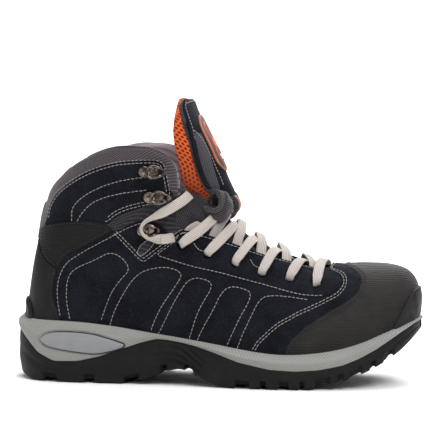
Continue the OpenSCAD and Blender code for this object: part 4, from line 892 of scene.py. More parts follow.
GR = [[-134,4.5,-14],[-115,5.5,8],[-85.5,5,8],[-51,8.5,10],[-27,3,8],[-11,4.5,4],[20,7.5,-8],[36,2.4,-8],[51.5,5,-8],[67,2.4,-6],[82,7.5,-6],[97,2.6,-4],[110.5,6.5,0],[123,2.4,0],[134.5,5,0]]
def groove(x, y, fine=True):
    g = np.zeros(x.shape)
    for gx, w, a in GR:
        for s in (-1, 1):
            t = math.radians(s*a)
            lx = (x-gx)*math.cos(t)+y*math.sin(t)
            g = np.maximum(g, np.where(y*s > 0, smooth01((w/2*(1+.35*smooth01((abs(y)-24)/12))+.35-abs(lx))/.7), 0))
    g = np.maximum(g, smooth01((3.35-abs(y))/.7)*((x > -118) & (x < 112)))
    for cx in (-100, 5, 60):
        g = np.maximum(g, smooth01((7.3-np.hypot(x-cx, y))/.7))
    return g
s_ = RING[:, 0]
RP = np.concatenate([[0], np.cumsum(np.linalg.norm(np.diff(RING, axis=0), axis=1))])

def wall(levels, offs, zz):
    """rings stacked from the bottom up"""
    V = np.stack([np.column_stack([RING[:, :2]+RN[:, :2]*o[:, None], z]) for o, z in zip(offs, zz)])
    return V
def grid_faces(n, m, wrap):
    i = np.arange(n if wrap else n-1)[:, None]; j = np.arange(m-1)[None]
    i2 = (i+1) % n
    return np.stack([i*m+j, i2*m+j, i2*m+j+1, i*m+j+1], -1).reshape(-1, 4)
def across(ringrow, m, zfun=None):
    """a grid from the lateral half of a ring to the medial half"""
    h = SN//2
    a = ringrow[:h+1]; b = np.vstack([ringrow[:1], ringrow[:h-1:-1]])
    t = np.linspace(0, 1, m)[None, :, None]
    G = a[:, None]*(1-t)+b[:, None]*t
    if zfun is not None:
        G = zfun(G)
    return G
def solid(name, V, bot, top, mat, uvw=None, **kw):
    K = V.shape[0]
    W = V.transpose(1, 0, 2)
    parts = [(W.reshape(-1, 3), [grid_faces(NR_, K, True)], uvw if uvw is not None else np.stack([np.repeat(RP[:NR_], K), W[..., 2].ravel()], -1))]
    for G, fl in ((bot, False), (top, True)):
        n, m = G.shape[:2]
        f = grid_faces(n, m, False)
        parts.append((G.reshape(-1, 3), [f[:, ::-1] if fl else f], G[..., :2].reshape(-1, 2)))
    v, f, uv = merge(parts)
    ob = build(name, v, f, mat, uv, weld=.02)
    return own(ob, **kw)
# outsole
zt, zo = TREAD(s_), OUTT(s_)
ed = RING[:, :2]+RN[:, :2]*(FLX*.8)[:, None]
ge = groove(ed[:, 0], ed[:, 1])
wave_m = smooth01((s_+50)/14)*smooth01((6-s_)/14)
offs, zz = [], []
for k, q in enumerate(np.concatenate([[0, .02, .06], np.linspace(.12, 1, 15), [1.0]])):
    hgt = np.maximum(zo-zt, 1.0)
    z = zt+hgt*q
    f = np.interp(q, [0, .06, .35, .75, 1], [.55, .72, .95, .93, .85])
    o = FLX*f+(.25 if q > 0 else 0)
    rec = ge*smooth01((7.4-(z-zt))/2.2)
    o = o-4.2*rec
    o = o+1.1*wave_m*np.sin((z-zt)*1.25+s_*.42)*smooth01(q*5)*smooth01((1-q)*6)
    lug = smooth01(q/.25)*smooth01((.62-q)/.12)
    o = o-.5*np.exp(-((q-.62)/.05)**2)*(1-wave_m)
    if k == 0:
        z = zt+5.6*ge; o = o-.6
    elif q < .12:
        z = np.maximum(z, zt+5.6*ge*(1-q/.2))
    if k == 18:
        o = o-1.2; z = z-.1
    offs.append(o); zz.append(z)
V = wall(None, offs, zz)
def bot_z(G):
    x, y = G[..., 0], G[..., 1]
    d = np.minimum(np.arange(G.shape[1]), G.shape[1]-1-np.arange(G.shape[1]))[None]
    z = TREAD(x)+(4.6+2.4*smooth01((np.abs(y)-24)/12))*groove(x, y)
    z = z+.35*smooth01((np.sin(x*1.15+np.abs(y)*.35)-.86)/.1)*(groove(x, y) < .1)
    G = G.copy(); G[:, 1:-1, 2] = z[:, 1:-1]
    return G
h_ = SN//2
topG = across(V[-1], 7); topG[:, 1:-1, 2] -= .6
solid("outsole", V, across(V[0], 150, bot_z), topG, RUBBER, rep=("outsole",), slot="outsole_rubber")
# midsole
INS = [[-131,31],[-128,35.5],[-118,38.4],[-100,38.2],[-86,36.8],[-72,32.8],[-60,28.6],[-82,22.2],[-93,22.4],[-112,24.6],[-124,27]]
zf_ = RING[:, 2].copy()
for k_ in range(-5, 6):
    zf_[k_] = min(zf_[k_], .5*(zf_[-6]+zf_[6]))
offs, zz = [], []
lv = np.concatenate([[0, .0], np.linspace(.03, 1, 30), [1.0, 1.0]])
for k, q in enumerate(lv):
    zb_ = np.minimum(zo, zf_-1.2)
    z = zb_+(zf_-.1-zb_)*q
    o = np.interp(q, [0, .55, 1], [0, 1, 2])
    base = FLX*np.interp(q, [0, .55, 1], [.87, .93, .0])+np.interp(q, [0, .55, 1], [.2, .8, 2.7])
    mid = FLX*.93+.8; lo = FLX*.87+.2; hi = 2.7+0*FLX
    base = lo*(1-q)**2+2*q*(1-q)*(mid*1.5-.25*(lo+hi)*1.0)+hi*q**2 if False else base
    base = base+.45*np.sin(np.clip(q, 0, 1)*math.pi)
    x = RING[:, 0]+RN[:, 0]*base
    dI = sdf(INS, 2, x, z)*1.0
    base = base-1.7*smooth01((dI+1.5)/.8)
    # a sculpted line that follows the top of the sole wall
    base = base-.45*np.exp(-(((zf_-z)-5.2)/.55)**2)*smooth01((zf_-zb_-9)/3)
    if k == 0:
        base = base-9
    if k == len(lv)-2:
        z = z+.5; base = base-.8
    if k == len(lv)-1:
        z = z+.3; base = base-3.6
    offs.append(base); zz.append(z)
V = wall(None, offs, zz)
mb = across(V[0], 5); mt = across(V[-1], 7)
MW = V.transpose(1, 0, 2)
uvw = np.stack([np.repeat(RP[:NR_], len(lv)), MW[..., 2].ravel()], -1)
solid("midsole", V, mb, mt, MIDSOLE, uvw, rep=("midsole",), slot="midsole_foam")
# dark bed and inserts in the heel sides
Wg = V[2:-2].transpose(1, 0, 2)
for s, nm in ((-1, "lateral"), (1, "medial")):
    rr = slice(SN//4, SN//2) if s < 0 else slice(SN//2, 3*SN//4)
    qn = np.linspace(.02, .93, 60)
    lo = RING[rr]; ll = []
    for q in qn:
        zb_ = np.minimum(zo, zf_-1.2)[rr]
        z = zb_+(zf_[rr]-.1-zb_)*q
        o = FLX[rr]*np.interp(q, [0, .55, 1], [.87, .93, 0])+np.interp(q, [0, .55, 1], [.2, .8, 2.7])+.45*math.sin(q*math.pi)
        ll.append(np.column_stack([lo[:, :2]+RN[rr][:, :2]*o[:, None], z]))
    Pg = np.stack(ll, 1)
    a = np.gradient(Pg, axis=0); b = np.gradient(Pg, axis=1)
    Ng = unit(np.cross(a, b))
    fl = float((Ng[..., 1]*s).mean()) < 0
    if fl:
        Ng = -Ng
    Dg = sdf(INS, 2, Pg[..., 0], Pg[..., 2])
    for tag, dd_, t_, b_, mt_, rp in (("", Dg, .45, -1.3, INSERT, ("heel_insert_"+nm,)), ("_bed", Dg+1.0, -1.0, -2.2, RUBBER, ())):
        Vx, F, dm = clip(dd_, Pg, Ng, np.repeat(RP[rr][:, None], 60, 1), Pg[..., 2], [])
        t = np.cross(Pg[1, 0]-Pg[0, 0], Pg[0, 1]-Pg[0, 0])
        if (t*Ng[0, 0]).sum() < 0:
            F = F[:, ::-1]
        P, N = Vx[:, :3], unit(Vx[:, 3:6]); n = len(P)
        h = t_+roll(dm, 2.2, 1.1)+(.35*smooth01((dm-2)/4) if not tag else 0)
        bd = boundary(F)
        Fw = np.vstack([np.stack([bd[:, 1], bd[:, 0], bd[:, 0]+n], -1), np.stack([bd[:, 1], bd[:, 0]+n, bd[:, 1]+n], -1)])
        ob = build("heel_insert"+tag+"_"+nm, np.vstack([P+N*h[:, None], P+N*b_]), np.vstack([F, F[:, ::-1]+n, Fw]), mt_, np.vstack([Vx[:, 6:8]]*2))
        own(ob, rp, "heel_insert" if not tag else "outsole_rubber")
# footbed
zfx = lambda x: np.interp(x, ST[:19, 0][::-1], ST[:19, 1][::-1])
fr = np.column_stack([RING[:, :2]-RN[:, :2]*9.3, RING[:, 2]])
fr[:, 0] = np.minimum(fr[:, 0], 126)
def fb_top(G):
    x, y = G[..., 0], G[..., 1]
    n, m = x.shape
    wd = np.linalg.norm(G[:, -1]-G[:, 0], axis=-1)[:, None]
    t = np.linspace(0, 1, m)[None]
    e = np.minimum(t, 1-t)*wd
    e = np.minimum(e, np.minimum(126-x, x+140)*1.0+.0)
    e = np.clip(e, 0, None)
    arch = 3.0*np.exp(-((x+25)/35)**2)*smooth01((y-4)/26)
    z = zfx(x)+6.9+3.6*np.exp(-(e/4.5)**2)*smooth01((105-x)/30)+arch-.6*np.exp(-(np.hypot((x+95)/26, y/19))**2)
    z = z-1.2*(1-smooth01(e/1.2))
    H = G.copy(); H[..., 2] = z
    return H
ft = across(fr, 60, fb_top)
fbz = ft.copy(); fbz[..., 2] = zfx(fbz[..., 0])+2.95
n, m = ft.shape[:2]
rim_t = np.vstack([ft[:, 0], ft[-2:0:-1, -1]]); rim_b = np.vstack([fbz[:, 0], fbz[-2:0:-1, -1]])
v, f, uv = merge([(ft.reshape(-1, 3), [grid_faces(n, m, False)[:, ::-1]], ft[..., :2].reshape(-1, 2)),
                  (fbz.reshape(-1, 3), [grid_faces(n, m, False)], fbz[..., :2].reshape(-1, 2)),
                  (np.stack([rim_b, rim_t], 1).reshape(-1, 3), [grid_faces(len(rim_t), 2, True)], np.stack([rim_b, rim_t], 1).reshape(-1, 3)[:, :2])])
own(build("footbed", v, f, FOOTBED_M, uv, weld=.02), ("footbed",), "footbed_foam", "insole")

# ------------------------------------------------------------------ tongue top
FL = np.array([[135,13.4,-12,15.5],[141,12,-18,18.6],[145,10.6,-21,20.6],[150,8.4,-23.4,23],[157,5.2,-24.6,24.4],[166,1.8,-26,25.4],[175,-2.4,-28,25.6],
  [184,-7.4,-29.2,25.6],[192,-11.8,-29.2,25.6],[199,-15.2,-28.6,25],[206,-18,-27.4,23],[211,-19.8,-26,19.6],[215,-21.4,-24.4,13]], float)
XB = np.array([[135,5],[139,2],[143,-2.4],[150,-6.5],[160,-10.4],[170,-13],[180,-15],[190,-17.4],[200,-20.6],[207,-23.4],[215,-23.6]])
def flap_row(z):
    z = np.asarray(z, float)
    r = crom(FL, 24)
    return [np.interp(z, r[:, 0], r[:, k]) for k in (1, 2, 3)]
def flap_grid(zv, cv, front=True):
    xF, xE, hw = flap_row(zv)
    xb = np.interp(zv, XB[:, 0], XB[:, 1])
    y = hw[:, None]*np.sin(cv[None]*math.pi/2)
    q = np.abs(np.sin(cv[None]*math.pi/2))**2.2
    x = xb[:, None]+(xF-xb)[:, None]*(1-q)
    P = np.stack([x, y, np.repeat(zv[:, None], len(cv), 1)], -1)
    a = np.gradient(P, axis=0); b = np.gradient(P, axis=1)
    N = unit(np.cross(b, a)); N = np.where(N[..., :1] < 0, -N, N) if False else (-N if N[len(zv)//2, len(cv)//2, 0] < 0 else N)
    return P, N
def flap_shell(name, P, N, Df, mat, top, bot, r, drop, extra=None, rep=(), slot=None, body="tongue", outer=True):
    A = P[..., 1]; B = P[..., 2]
    wv = waves(P, 26, 11)
    Vx, F, dm = clip(Df, P, N, A, B, [wv])
    t = np.cross(P[1, 0]-P[0, 0], P[0, 1]-P[0, 0])
    if (t*N[0, 0]).sum() < 0:
        F = F[:, ::-1]
    p, nn = Vx[:, :3], unit(Vx[:, 3:6]); n = len(p)
    h = top+roll(dm, r, drop)+(extra(dm, p) if extra else 0)+.18*Vx[:, 8]*np.clip(dm/6, 0, 1)
    b_ = np.minimum(bot+(roll(dm, r, drop)*-.0), h-.4)
    bd = boundary(F)
    Fw = np.vstack([np.stack([bd[:, 1], bd[:, 0], bd[:, 0]+n], -1), np.stack([bd[:, 1], bd[:, 0]+n, bd[:, 1]+n], -1)])
    V = np.vstack([p+nn*h[:, None], p+nn*b_[:, None]])
    ob = build(name, V, np.vstack([F, F[:, ::-1]+n, Fw]), mat, np.vstack([Vx[:, 6:8]]*2), attrs={"edge": np.concatenate([dm, dm])})
    if outer:
        ON[len(OUTER)] = (ob, n); OUTER.append((V[:n], F))
    return own(ob, rep, slot, body)
zv = np.linspace(140.5, 214.6, 120); cv = np.linspace(-1, 1, 110)
FPt, FNt = flap_grid(zv, cv)
arc = np.concatenate([np.zeros((len(zv), 1)), np.cumsum(np.linalg.norm(np.diff(FPt, axis=1), axis=-1), 1)], 1)
edge_d = np.minimum(arc, arc[:, -1:]-arc)
fD = np.minimum(edge_d, (214.4-FPt[..., 2])*1.3)
tongue_flap = flap_shell("tongue_flap", FPt, FNt, fD, TONGUE_M, .2, -4.6, 3.6, 4.0, lambda d, p: .8*smooth01(d/10), ("tongue_flap",), "tongue_textile")
yz = FPt
nv = np.minimum(fD-1.2, np.maximum(FPt[..., 2]-(183+.25*np.abs(FPt[..., 1])), 13.5+(FPt[..., 2] < 170)*1.5-np.abs(FPt[..., 1])))
navy_front = flap_shell("tongue_front_suede", FPt, FNt, nv, NAVY, 1.35, .2, 1.6, 1.0, lambda d, p: .5*smooth01(d/8)-.25*np.exp(-((d-2)/.7)**2), (), "suede")
side_ = np.minimum(np.minimum(4.4-edge_d, edge_d-.2), np.minimum(FPt[..., 2]-146, 196-FPt[..., 2]))
flap_shell("tongue_side_binding", FPt, FNt, side_, NAVY, .95, -.6, .9, .6, None, (), "suede", outer=False)
# orange padded lining, wrapped round the back and the sides
def ring_row(z, f=1.0, n=120, dz=0.0):
    xF, xE, hw = [float(a) for a in flap_row(z)]
    xb = float(np.interp(z, XB[:, 0], XB[:, 1]))
    ph = np.linspace(0, 2*math.pi, n, endpoint=False)
    c, s = np.cos(ph), np.sin(ph)
    q = np.sign(c)*np.abs(c)**.6
    g = 1-np.abs(q)**2.2
    xf = xb+(xF-xb)*g-2.6; xk = xE+((xF-9.5)-xE)*g
    xk = xk-3.4*np.abs(q)**1.5*min(1.0, max(.15, (212-z)/22))
    xm, th = (xf+xk)/2, np.maximum((xf-xk)/2, 1.4)
    x = xm+th*np.sign(s)*np.abs(s)**.42*f
    y = (hw-.3)*q
    cx = xm.mean()
    x = cx+(x-cx)*f if f < 1 else x
    return np.column_stack([x, y*f, np.full(n, z+dz)])
zr = np.linspace(135.0, 212.2, 90)
rows = [ring_row(135.0, f, dz=-dz) for f, dz in ((.25, 2.3), (.6, 1.9), (.85, 1.1))]+[ring_row(z) for z in zr]+[ring_row(212.2, f, dz=dz) for f, dz in ((.93, .9), (.75, 1.7), (.45, 2.2), (.15, 2.4))]
rows = np.array(rows); nr, nc = rows.shape[:2]
cc = waves(rows, 22, 21)
cen = rows.mean(1, keepdims=True)
rad = unit((rows-cen)*np.array([1, 1, 0]))
rows = rows+rad*(.35*cc)[..., None]
L = np.concatenate([np.zeros((nr, 1)), np.cumsum(np.linalg.norm(np.diff(rows, axis=1), axis=-1), 1)], 1)
Vv = rows.reshape(-1, 3)
i = np.arange(nr-1)[:, None]*nc; j = np.arange(nc)[None]; j2 = (j+1) % nc
Q = np.stack([i+j, i+j2, i+nc+j2, i+nc+j], -1).reshape(-1, 4)
Vv = np.vstack([Vv, rows[0].mean(0), rows[-1].mean(0)])
j = np.arange(nc)
Tt = np.vstack([np.stack([(j+1) % nc, j, np.full(nc, nr*nc)], -1), np.stack([(nr-1)*nc+j, (nr-1)*nc+(j+1) % nc, np.full(nc, nr*nc+1)], -1)])
uvr = np.vstack([np.stack([L, rows[..., 2]], -1).reshape(-1, 2), [[0, 139], [0, 214]]])
tongue_lining = own(build("tongue_lining", Vv, [Q, Tt], ORANGE_T, uvr, weld=.001), ("tongue_lining",), "orange_mesh", "tongue")
def pin_tongue(p):
    return np.clip(np.maximum.reduce([1-(p[:, 2]-138)/5.0, 1-np.abs(np.abs(p[:, 1])-13.5)/2.2, np.zeros(len(p))]), 0, 1)
puff(tongue_lining, [tongue_lining, tongue_flap, navy_front], 4.0, pin_tongue, 3.5, 1.2)
# badge
zb2 = np.linspace(154, 205, 130); cb2 = np.linspace(-.42, .42, 74)
BP, BN = flap_grid(zb2, cb2)
by, bz = BP[..., 1], BP[..., 2]
def oval(y, z, cz=179.6, hh=9.6, r=11.6):
    return r-np.hypot(y, np.maximum(np.abs(z-cz)-hh, 0))
so = oval(by, bz)
flap_shell("tongue_badge", BP, BN, so-.7, BADGE_D, 2.9, 1.4, .8, .5, rep=("tongue_badge",), slot="badge", outer=False)
flap_shell("badge_rim", BP, BN, np.minimum(so, 1.15-so), BADGE_O, 3.5, 1.4, .6, .5, slot="badge", outer=False)
flap_shell("badge_ring_top", BP, BN, .5-np.abs(np.hypot(by, bz-188)-6.4), BADGE_R, 3.35, 2.6, .5, .3, slot="badge", outer=False)
flap_shell("badge_block", BP, BN, np.minimum(2.2-np.abs(bz-179.4), 4.6-np.abs(by)), BADGE_R, 3.4, 2.6, .5, .3, slot="badge", outer=False)
flap_shell("badge_ring_low", BP, BN, .5-np.abs(np.hypot(by, bz-171)-6.2), BADGE_R, 3.35, 2.6, .5, .3, slot="badge", outer=False)
flap_shell("badge_marks", BP, BN, np.maximum(np.minimum(.6-np.abs(by-1.7), 2-np.abs(bz-169)), np.minimum(.6-np.abs(by+1.7), 2-np.abs(bz-169))), BADGE_W, 3.4, 2.6, .3, .2, slot="badge", outer=False)
# neck that folds between the boot and the tongue top
NK = np.array([[124,8.2,-6,19],[128,7.6,-4.5,19.6],[133,8.2,-3,18.6],[138,10.4,-2,17.4],[142,11.6,-3.6,17.4],[147,10.2,-8.5,19.6]], float)
nk = crom(NK, 6); cn = np.linspace(-1, 1, 70)
yy = nk[:, 3][:, None]*np.sin(cn*math.pi/2)[None]
xx = nk[:, 2][:, None]+(nk[:, 1]-nk[:, 2])[:, None]*(1-np.abs(np.sin(cn*math.pi/2))[None]**2.2)
PK = np.stack([xx, yy, np.repeat(nk[:, :1], len(cn), 1)], -1)
a = np.gradient(PK, axis=0); b = np.gradient(PK, axis=1); NKn = unit(np.cross(b, a)); NKn = -NKn if NKn[5, 35, 0] < 0 else NKn
wk = waves(PK, 12, 31)
fr_ = PK+NKn*(.4+.5*wk*np.cos(cn*math.pi/2)[None]**.5)[..., None]; bk = PK-NKn*3.2
n, m = PK.shape[:2]
ls = np.stack([fr_[:, 0], bk[:, 0]], 1); 
parts = [(fr_.reshape(-1, 3), [grid_faces(n, m, False)], fr_[..., 1:].reshape(-1, 2)), (bk.reshape(-1, 3), [grid_faces(n, m, False)[:, ::-1]], bk[..., 1:].reshape(-1, 2))]
for e1, e2 in ((fr_[:, 0], bk[:, 0]), (bk[:, -1], fr_[:, -1]), (bk[0], fr_[0]), (fr_[-1], bk[-1])):
    g = np.stack([e1, e2], 1); parts.append((g.reshape(-1, 3), [grid_faces(len(g), 2, False)], g.reshape(-1, 3)[:, 1:]))
v, f, uv = merge(parts)
neck = build("tongue_neck", v, f, TONGUE_M, uv, weld=.01)
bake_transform(neck)
# side webs of the tongue and the folded mesh opening at its root
def ruled(name, A, B, bulge, mat, thick=1.2, n=46, m=40, slot="ankle_mesh", body="boot"):
    A = resample(crom(A, 10), n=n); B = resample(crom(B, 10), n=n)
    t = np.linspace(0, 1, m)[None, :, None]
    P = A[:, None]*(1-t)+B[:, None]*t
    a = np.gradient(P, axis=0); b = np.gradient(P, axis=1); N = unit(np.cross(a, b))
    if (N[n//2, m//2, 1])*np.sign(P[n//2, m//2, 1]) < 0:
        N = -N
    wv = waves(P, 15, 41)
    tt = t[..., 0]
    P = P+N*(bulge*np.sin(math.pi*tt)+.5*wv*np.sin(math.pi*tt)**.5+.5*np.sin(tt*math.pi*3)*np.sin(math.pi*tt))[..., None]
    Q_ = P-N*thick
    uvw_ = np.stack([np.linspace(0, 30, n)[:, None]*np.ones((1, m)), np.linspace(0, 26, m)[None]*np.ones((n, 1))], -1).reshape(-1, 2)
    parts = [(P.reshape(-1, 3), [grid_faces(n, m, False)], uvw_), (Q_.reshape(-1, 3), [grid_faces(n, m, False)[:, ::-1]], uvw_)]
    for e1, e2 in ((P[:, 0], Q_[:, 0]), (Q_[:, -1], P[:, -1]), (Q_[0], P[0]), (P[-1], Q_[-1])):
        g = np.stack([e1, e2], 1); parts.append((g.reshape(-1, 3), [grid_faces(len(g), 2, False)], g.reshape(-1, 3)[:, :2]))
    v, f, uv = merge(parts)
    ob = build(name, v, f, mat, uv, weld=.01)
    if body:
        own(ob, (), slot, body)
    return ob
FM_ = []
for s, nm in ((-1, "lateral"), (1, "medial")):
    A = [[-27,31.5,110],[-26.5,33.2,118],[-25.5,33.6,126],[-25,32.6,134],[-24.5,30.6,141],[-25,28.5,147]]
    B = [[-2,22.6,110],[-2.5,22.4,117],[-3.5,21.8,124],[-4,21,130],[-5,20.6,136],[-8,20.2,141]]
    A = np.array(A, float); B = np.array(B, float); A[:, 1] *= s; B[:, 1] *= s
    ruled("tongue_web_"+nm, A, B, -1.6, WEBM, 1.1)
    # the gusset folds here into a soft pouch with a stitched mouth round the tongue's lower end
    c0 = np.array([3.6, s*17.2, 133.2]); ax = unit(np.array([-.50, s*.70, .52]))
    u_ = unit(np.cross(ax, [0, 0, 1.])); w_ = np.cross(u_, ax)
    na, nb = 110, 84
    th_ = np.linspace(.03, math.pi-.03, nb)[:, None]; aa = np.linspace(0, 2*math.pi, na, endpoint=False)[None]
    D_ = ax*np.cos(th_)[..., None]+(u_*np.cos(aa)[..., None]+w_*np.sin(aa)[..., None])*np.sin(th_)[..., None]
    rr_ = 1/np.sqrt((D_[..., 0]/10.8)**2+(D_[..., 1]/9.4)**2+(D_[..., 2]/12.6)**2)
    ta = .80+.12*np.cos(2*aa-.5)+.05*np.cos(3*aa+.4)
    rr_ = rr_*(.10+.90*smooth01((th_-ta+.17)/.17))+1.3*np.exp(-((th_-ta-.05)/.11)**2)
    rr_ = rr_-.9*np.exp(-((th_-ta-.42)/.10)**2)
    R_ = c0+D_*rr_[..., None]
    R_ = R_+D_*(.55*waves(R_, 11, 63)*smooth01((th_-ta)/.4))[..., None]
    m_ = nb
    i_ = np.arange(m_-1)[:, None]*na; j_ = np.arange(na)[None]; jj = (j_+1) % na
    Qf = np.stack([i_+j_, i_+jj, i_+na+jj, i_+na+j_], -1).reshape(-1, 4)
    Vf = np.vstack([R_.reshape(-1, 3), R_[0].mean(0), R_[-1].mean(0)]); j_ = np.arange(na)
    Tf = np.vstack([np.stack([(j_+1) % na, j_, np.full(na, m_*na)], -1), np.stack([(m_-1)*na+j_, (m_-1)*na+(j_+1) % na, np.full(na, m_*na+1)], -1)])
    uvf = np.vstack([np.stack([R_[..., 0]*.8+R_[..., 2]*.6, R_[..., 2]*.8-R_[..., 0]*.6], -1).reshape(-1, 2), [[0, 0], [0, 0]]])
    FM_.append((R_, ta, s))
    ob = build("gusset_fold_"+nm, Vf, [Qf, Tf], FOLDM, uvf, weld=.001)
    # the faces inside the pouch mouth get the near-black painted shade
    ob.data.materials.append(POUCH_SHADE)
    for p_ in ob.data.polygons:
        d_ = np.array(p_.center)/MM-c0; d_ = d_/np.linalg.norm(d_)
        aa_ = math.atan2(float(d_@w_), float(d_@u_))
        if math.acos(max(-1, min(1, float(d_@ax)))) < .80+.12*math.cos(2*aa_-.5)+.05*math.cos(3*aa_+.4)-.06:
            p_.material_index = 1
    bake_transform(ob)
# keeper loop
pth = resample(crom(np.array([[8.6, 0, 141.5], [10.6, 0, 140.6], [13.4, 0, 139.6], [16.2, 0, 136.6], [16.9, 0, 132.4], [15.4, 0, 128.6], [12.6, 0, 126.8], [9.4, 0, 127.6]]), 12), n=60)
tt = unit(np.gradient(pth, axis=0)); wd = np.repeat([[0, 1., 0]], 60, 0); nd = np.cross(wd, tt)
def rounded(w, t, n=9, e=4):
    x = np.linspace(-1, 1, n)
    y = (1-np.abs(x)**e)**(1/2)
    return np.vstack([np.column_stack([x*w/2, y*t/2]), np.column_stack([x[::-1][1:-1]*w/2, -y[::-1][1:-1]*t/2])])
v, f, uv = sweep(pth, wd, nd, rounded(13, 1.5, 17))
own(build("lace_keeper", v, f, WEB, uv), ("lace_keeper",), "webbing")

# ------------------------------------------------------------------ lace
EY = [[13.2,.485],[11.7,.495],[10.25,.52],[9,.53],[7.9,.575],[6.8,.58]]
EV = [.605,.66,.69,.74,.765,.80]
def mir(q, s):
    return [q[0], q[1] if s < 0 else 2-q[1], q[2]]
def hole_in(n, s):
    return [mir([EY[n][0], EY[n][1], o], s) for o in (3.2, 1.2, -.8, -2.6)]
def cross(n, m, s, c):
    a, b, va, vb = EY[n][0], EY[m][0], EV[n], EV[m]
    return [mir([a+(b-a)*.08, EY[n][1]+.07, -3.7], s), mir([a+(b-a)*.2, va, -3.7], s), mir([a+(b-a)*.32, (va+1)/2, c-.6], s),
            mir([a+(b-a)*.5, 1, c], s), mir([a+(b-a)*.68, (vb+1)/2, .5*(c+3.4)], -s), mir([a+(b-a)*.8, vb, 3.1], -s),
            mir([a+(b-a)*.95, EY[m][1]+.04, 3.6], -s)]
def strand(n, s, over):
    return [] if n == 0 else cross(n, n-1, s, .4 if (s < 0) == over else -3.4)+hole_in(n-1, -s)+strand(n-1, -s, over)
def uv_at(x, z, s, o):
    k = int(np.argmin(np.hypot(GP[..., 0]-x, GP[..., 2]-z)+60*(GP[..., 1]*s < 3)))
    return [float(UU.ravel()[k]), float(VV.ravel()[k]), o]
def to_lock(s, c):
    if s < 0:
        return [mir([13.4,.57,-3.6], -s), mir([13.2,.64,-3.6], -s), mir([12.9,.8,-4.4], -s), mir([13,1,-5.0], s),
                mir([13.5,.84,-9.5], s), mir([13.95,.71,-12.0], s), mir([14.1,.66,-11.0], s), uv_at(-21, 113, s, -8.0), uv_at(-25, 110.6, s, -3.6), uv_at(-28.6, 109.8, s, 1.2), uv_at(-32.4, 109.5, s, 3.4), uv_at(-36.4, 109.6, s, 4.4)]
    return [mir([13.4,.57,-3.6], -s), mir([13.2,.64,-3.4], -s), mir([12.9,.8,c-.4], -s), mir([13,1,c], s),
            mir([13.5,.82,1.6], s), mir([14.2,.68,3.4], s), uv_at(-27, 112.6, s, 4.2), uv_at(-32, 109.8, s, 4.4), uv_at(-36.4, 109.6, s, 4.4)]
bar_ = hole_in(5, -1)[::-1]+[[6.8,.7,3.6],[6.8,.85,2.4],[6.8,1,2],[6.8,1.15,2.4],[6.8,1.3,3.6]]+hole_in(5, 1)
LUV = np.array((strand(5, -1, True)+to_lock(-1, .4))[::-1]+bar_+strand(5, 1, True)+to_lock(1, -3.4), float)
def lace_sec(w, t, ribs=5.5, n=34):
    x = np.linspace(-1, 1, n)
    y = (1-np.abs(x)**4)**.5*(1+.10*np.cos(x*math.pi*ribs))
    return np.vstack([np.column_stack([x*w/2, y*t/2]), np.column_stack([x[::-1][1:-1]*w/2, -y[::-1][1:-1]*t/2])])
def carry(P, N):
    """width direction along the lace, carried on through the holes"""
    T_ = unit(np.gradient(P, axis=0))
    b = unit(np.cross(T_[0], N[0])); W_ = [b]
    for i in range(1, len(P)):
        c = np.cross(T_[i], N[i]); l = np.linalg.norm(c)
        keep = b-(b@T_[i])*T_[i]; keep = keep/max(1e-9, np.linalg.norm(keep))
        if l > .3:
            c = c/l
            c = c if c@b > 0 else -c
            w = min(1.0, (l-.3)/.4)*.35
            keep = keep*(1-w)+c*w; keep = keep/np.linalg.norm(keep)
        b = keep; W_.append(b)
    W_ = np.array(W_)
    for _ in range(3):
        W_ = unit(W_+.5*(np.roll(W_, 1, 0)+np.roll(W_, -1, 0)) if False else W_)
    return T_, W_, np.cross(W_, T_)
qd = crom(LUV, 14)
lp = on_last(qd); lN = surf_n(qd[:, 0], qd[:, 1])
keep_ = resample(np.column_stack([lp, lN]), step=.8)if False else None
d_ = np.concatenate([[0], np.cumsum(np.linalg.norm(np.diff(lp, axis=0), axis=1))])
q_ = np.arange(0, d_[-1], .85)
lp = np.stack([np.interp(q_, d_, lp[:, k]) for k in range(3)], -1); lN = unit(np.stack([np.interp(q_, d_, lN[:, k]) for k in range(3)], -1))
for _ in range(3):
    lp[1:-1] = .5*lp[1:-1]+.25*(lp[:-2]+lp[2:])
LT, LW, LN_ = carry(lp, lN)
tw = .16*np.sin(q_/17+1)+.1*np.sin(q_/7.3)
LW2 = LW*np.cos(tw)[:, None]+LN_*np.sin(tw)[:, None]; LN2 = np.cross(LW2, LT)
holes_xyz = np.array([h for ab in HOLES for h in ab])
near = np.min(np.linalg.norm(lp[:, None]-holes_xyz[None], axis=-1), 1)
sw = .80+.20*smooth01((near-2.2)/4.5)
v, f, uv = sweep(lp, LW2, LN2, lace_sec(7.6, 1.75), np.column_stack([sw, 1+.5*(1-sw)/.2*.6]))
own(build("lace", v, f, LACE_MAT, uv), ("lace",), "lace_textile")

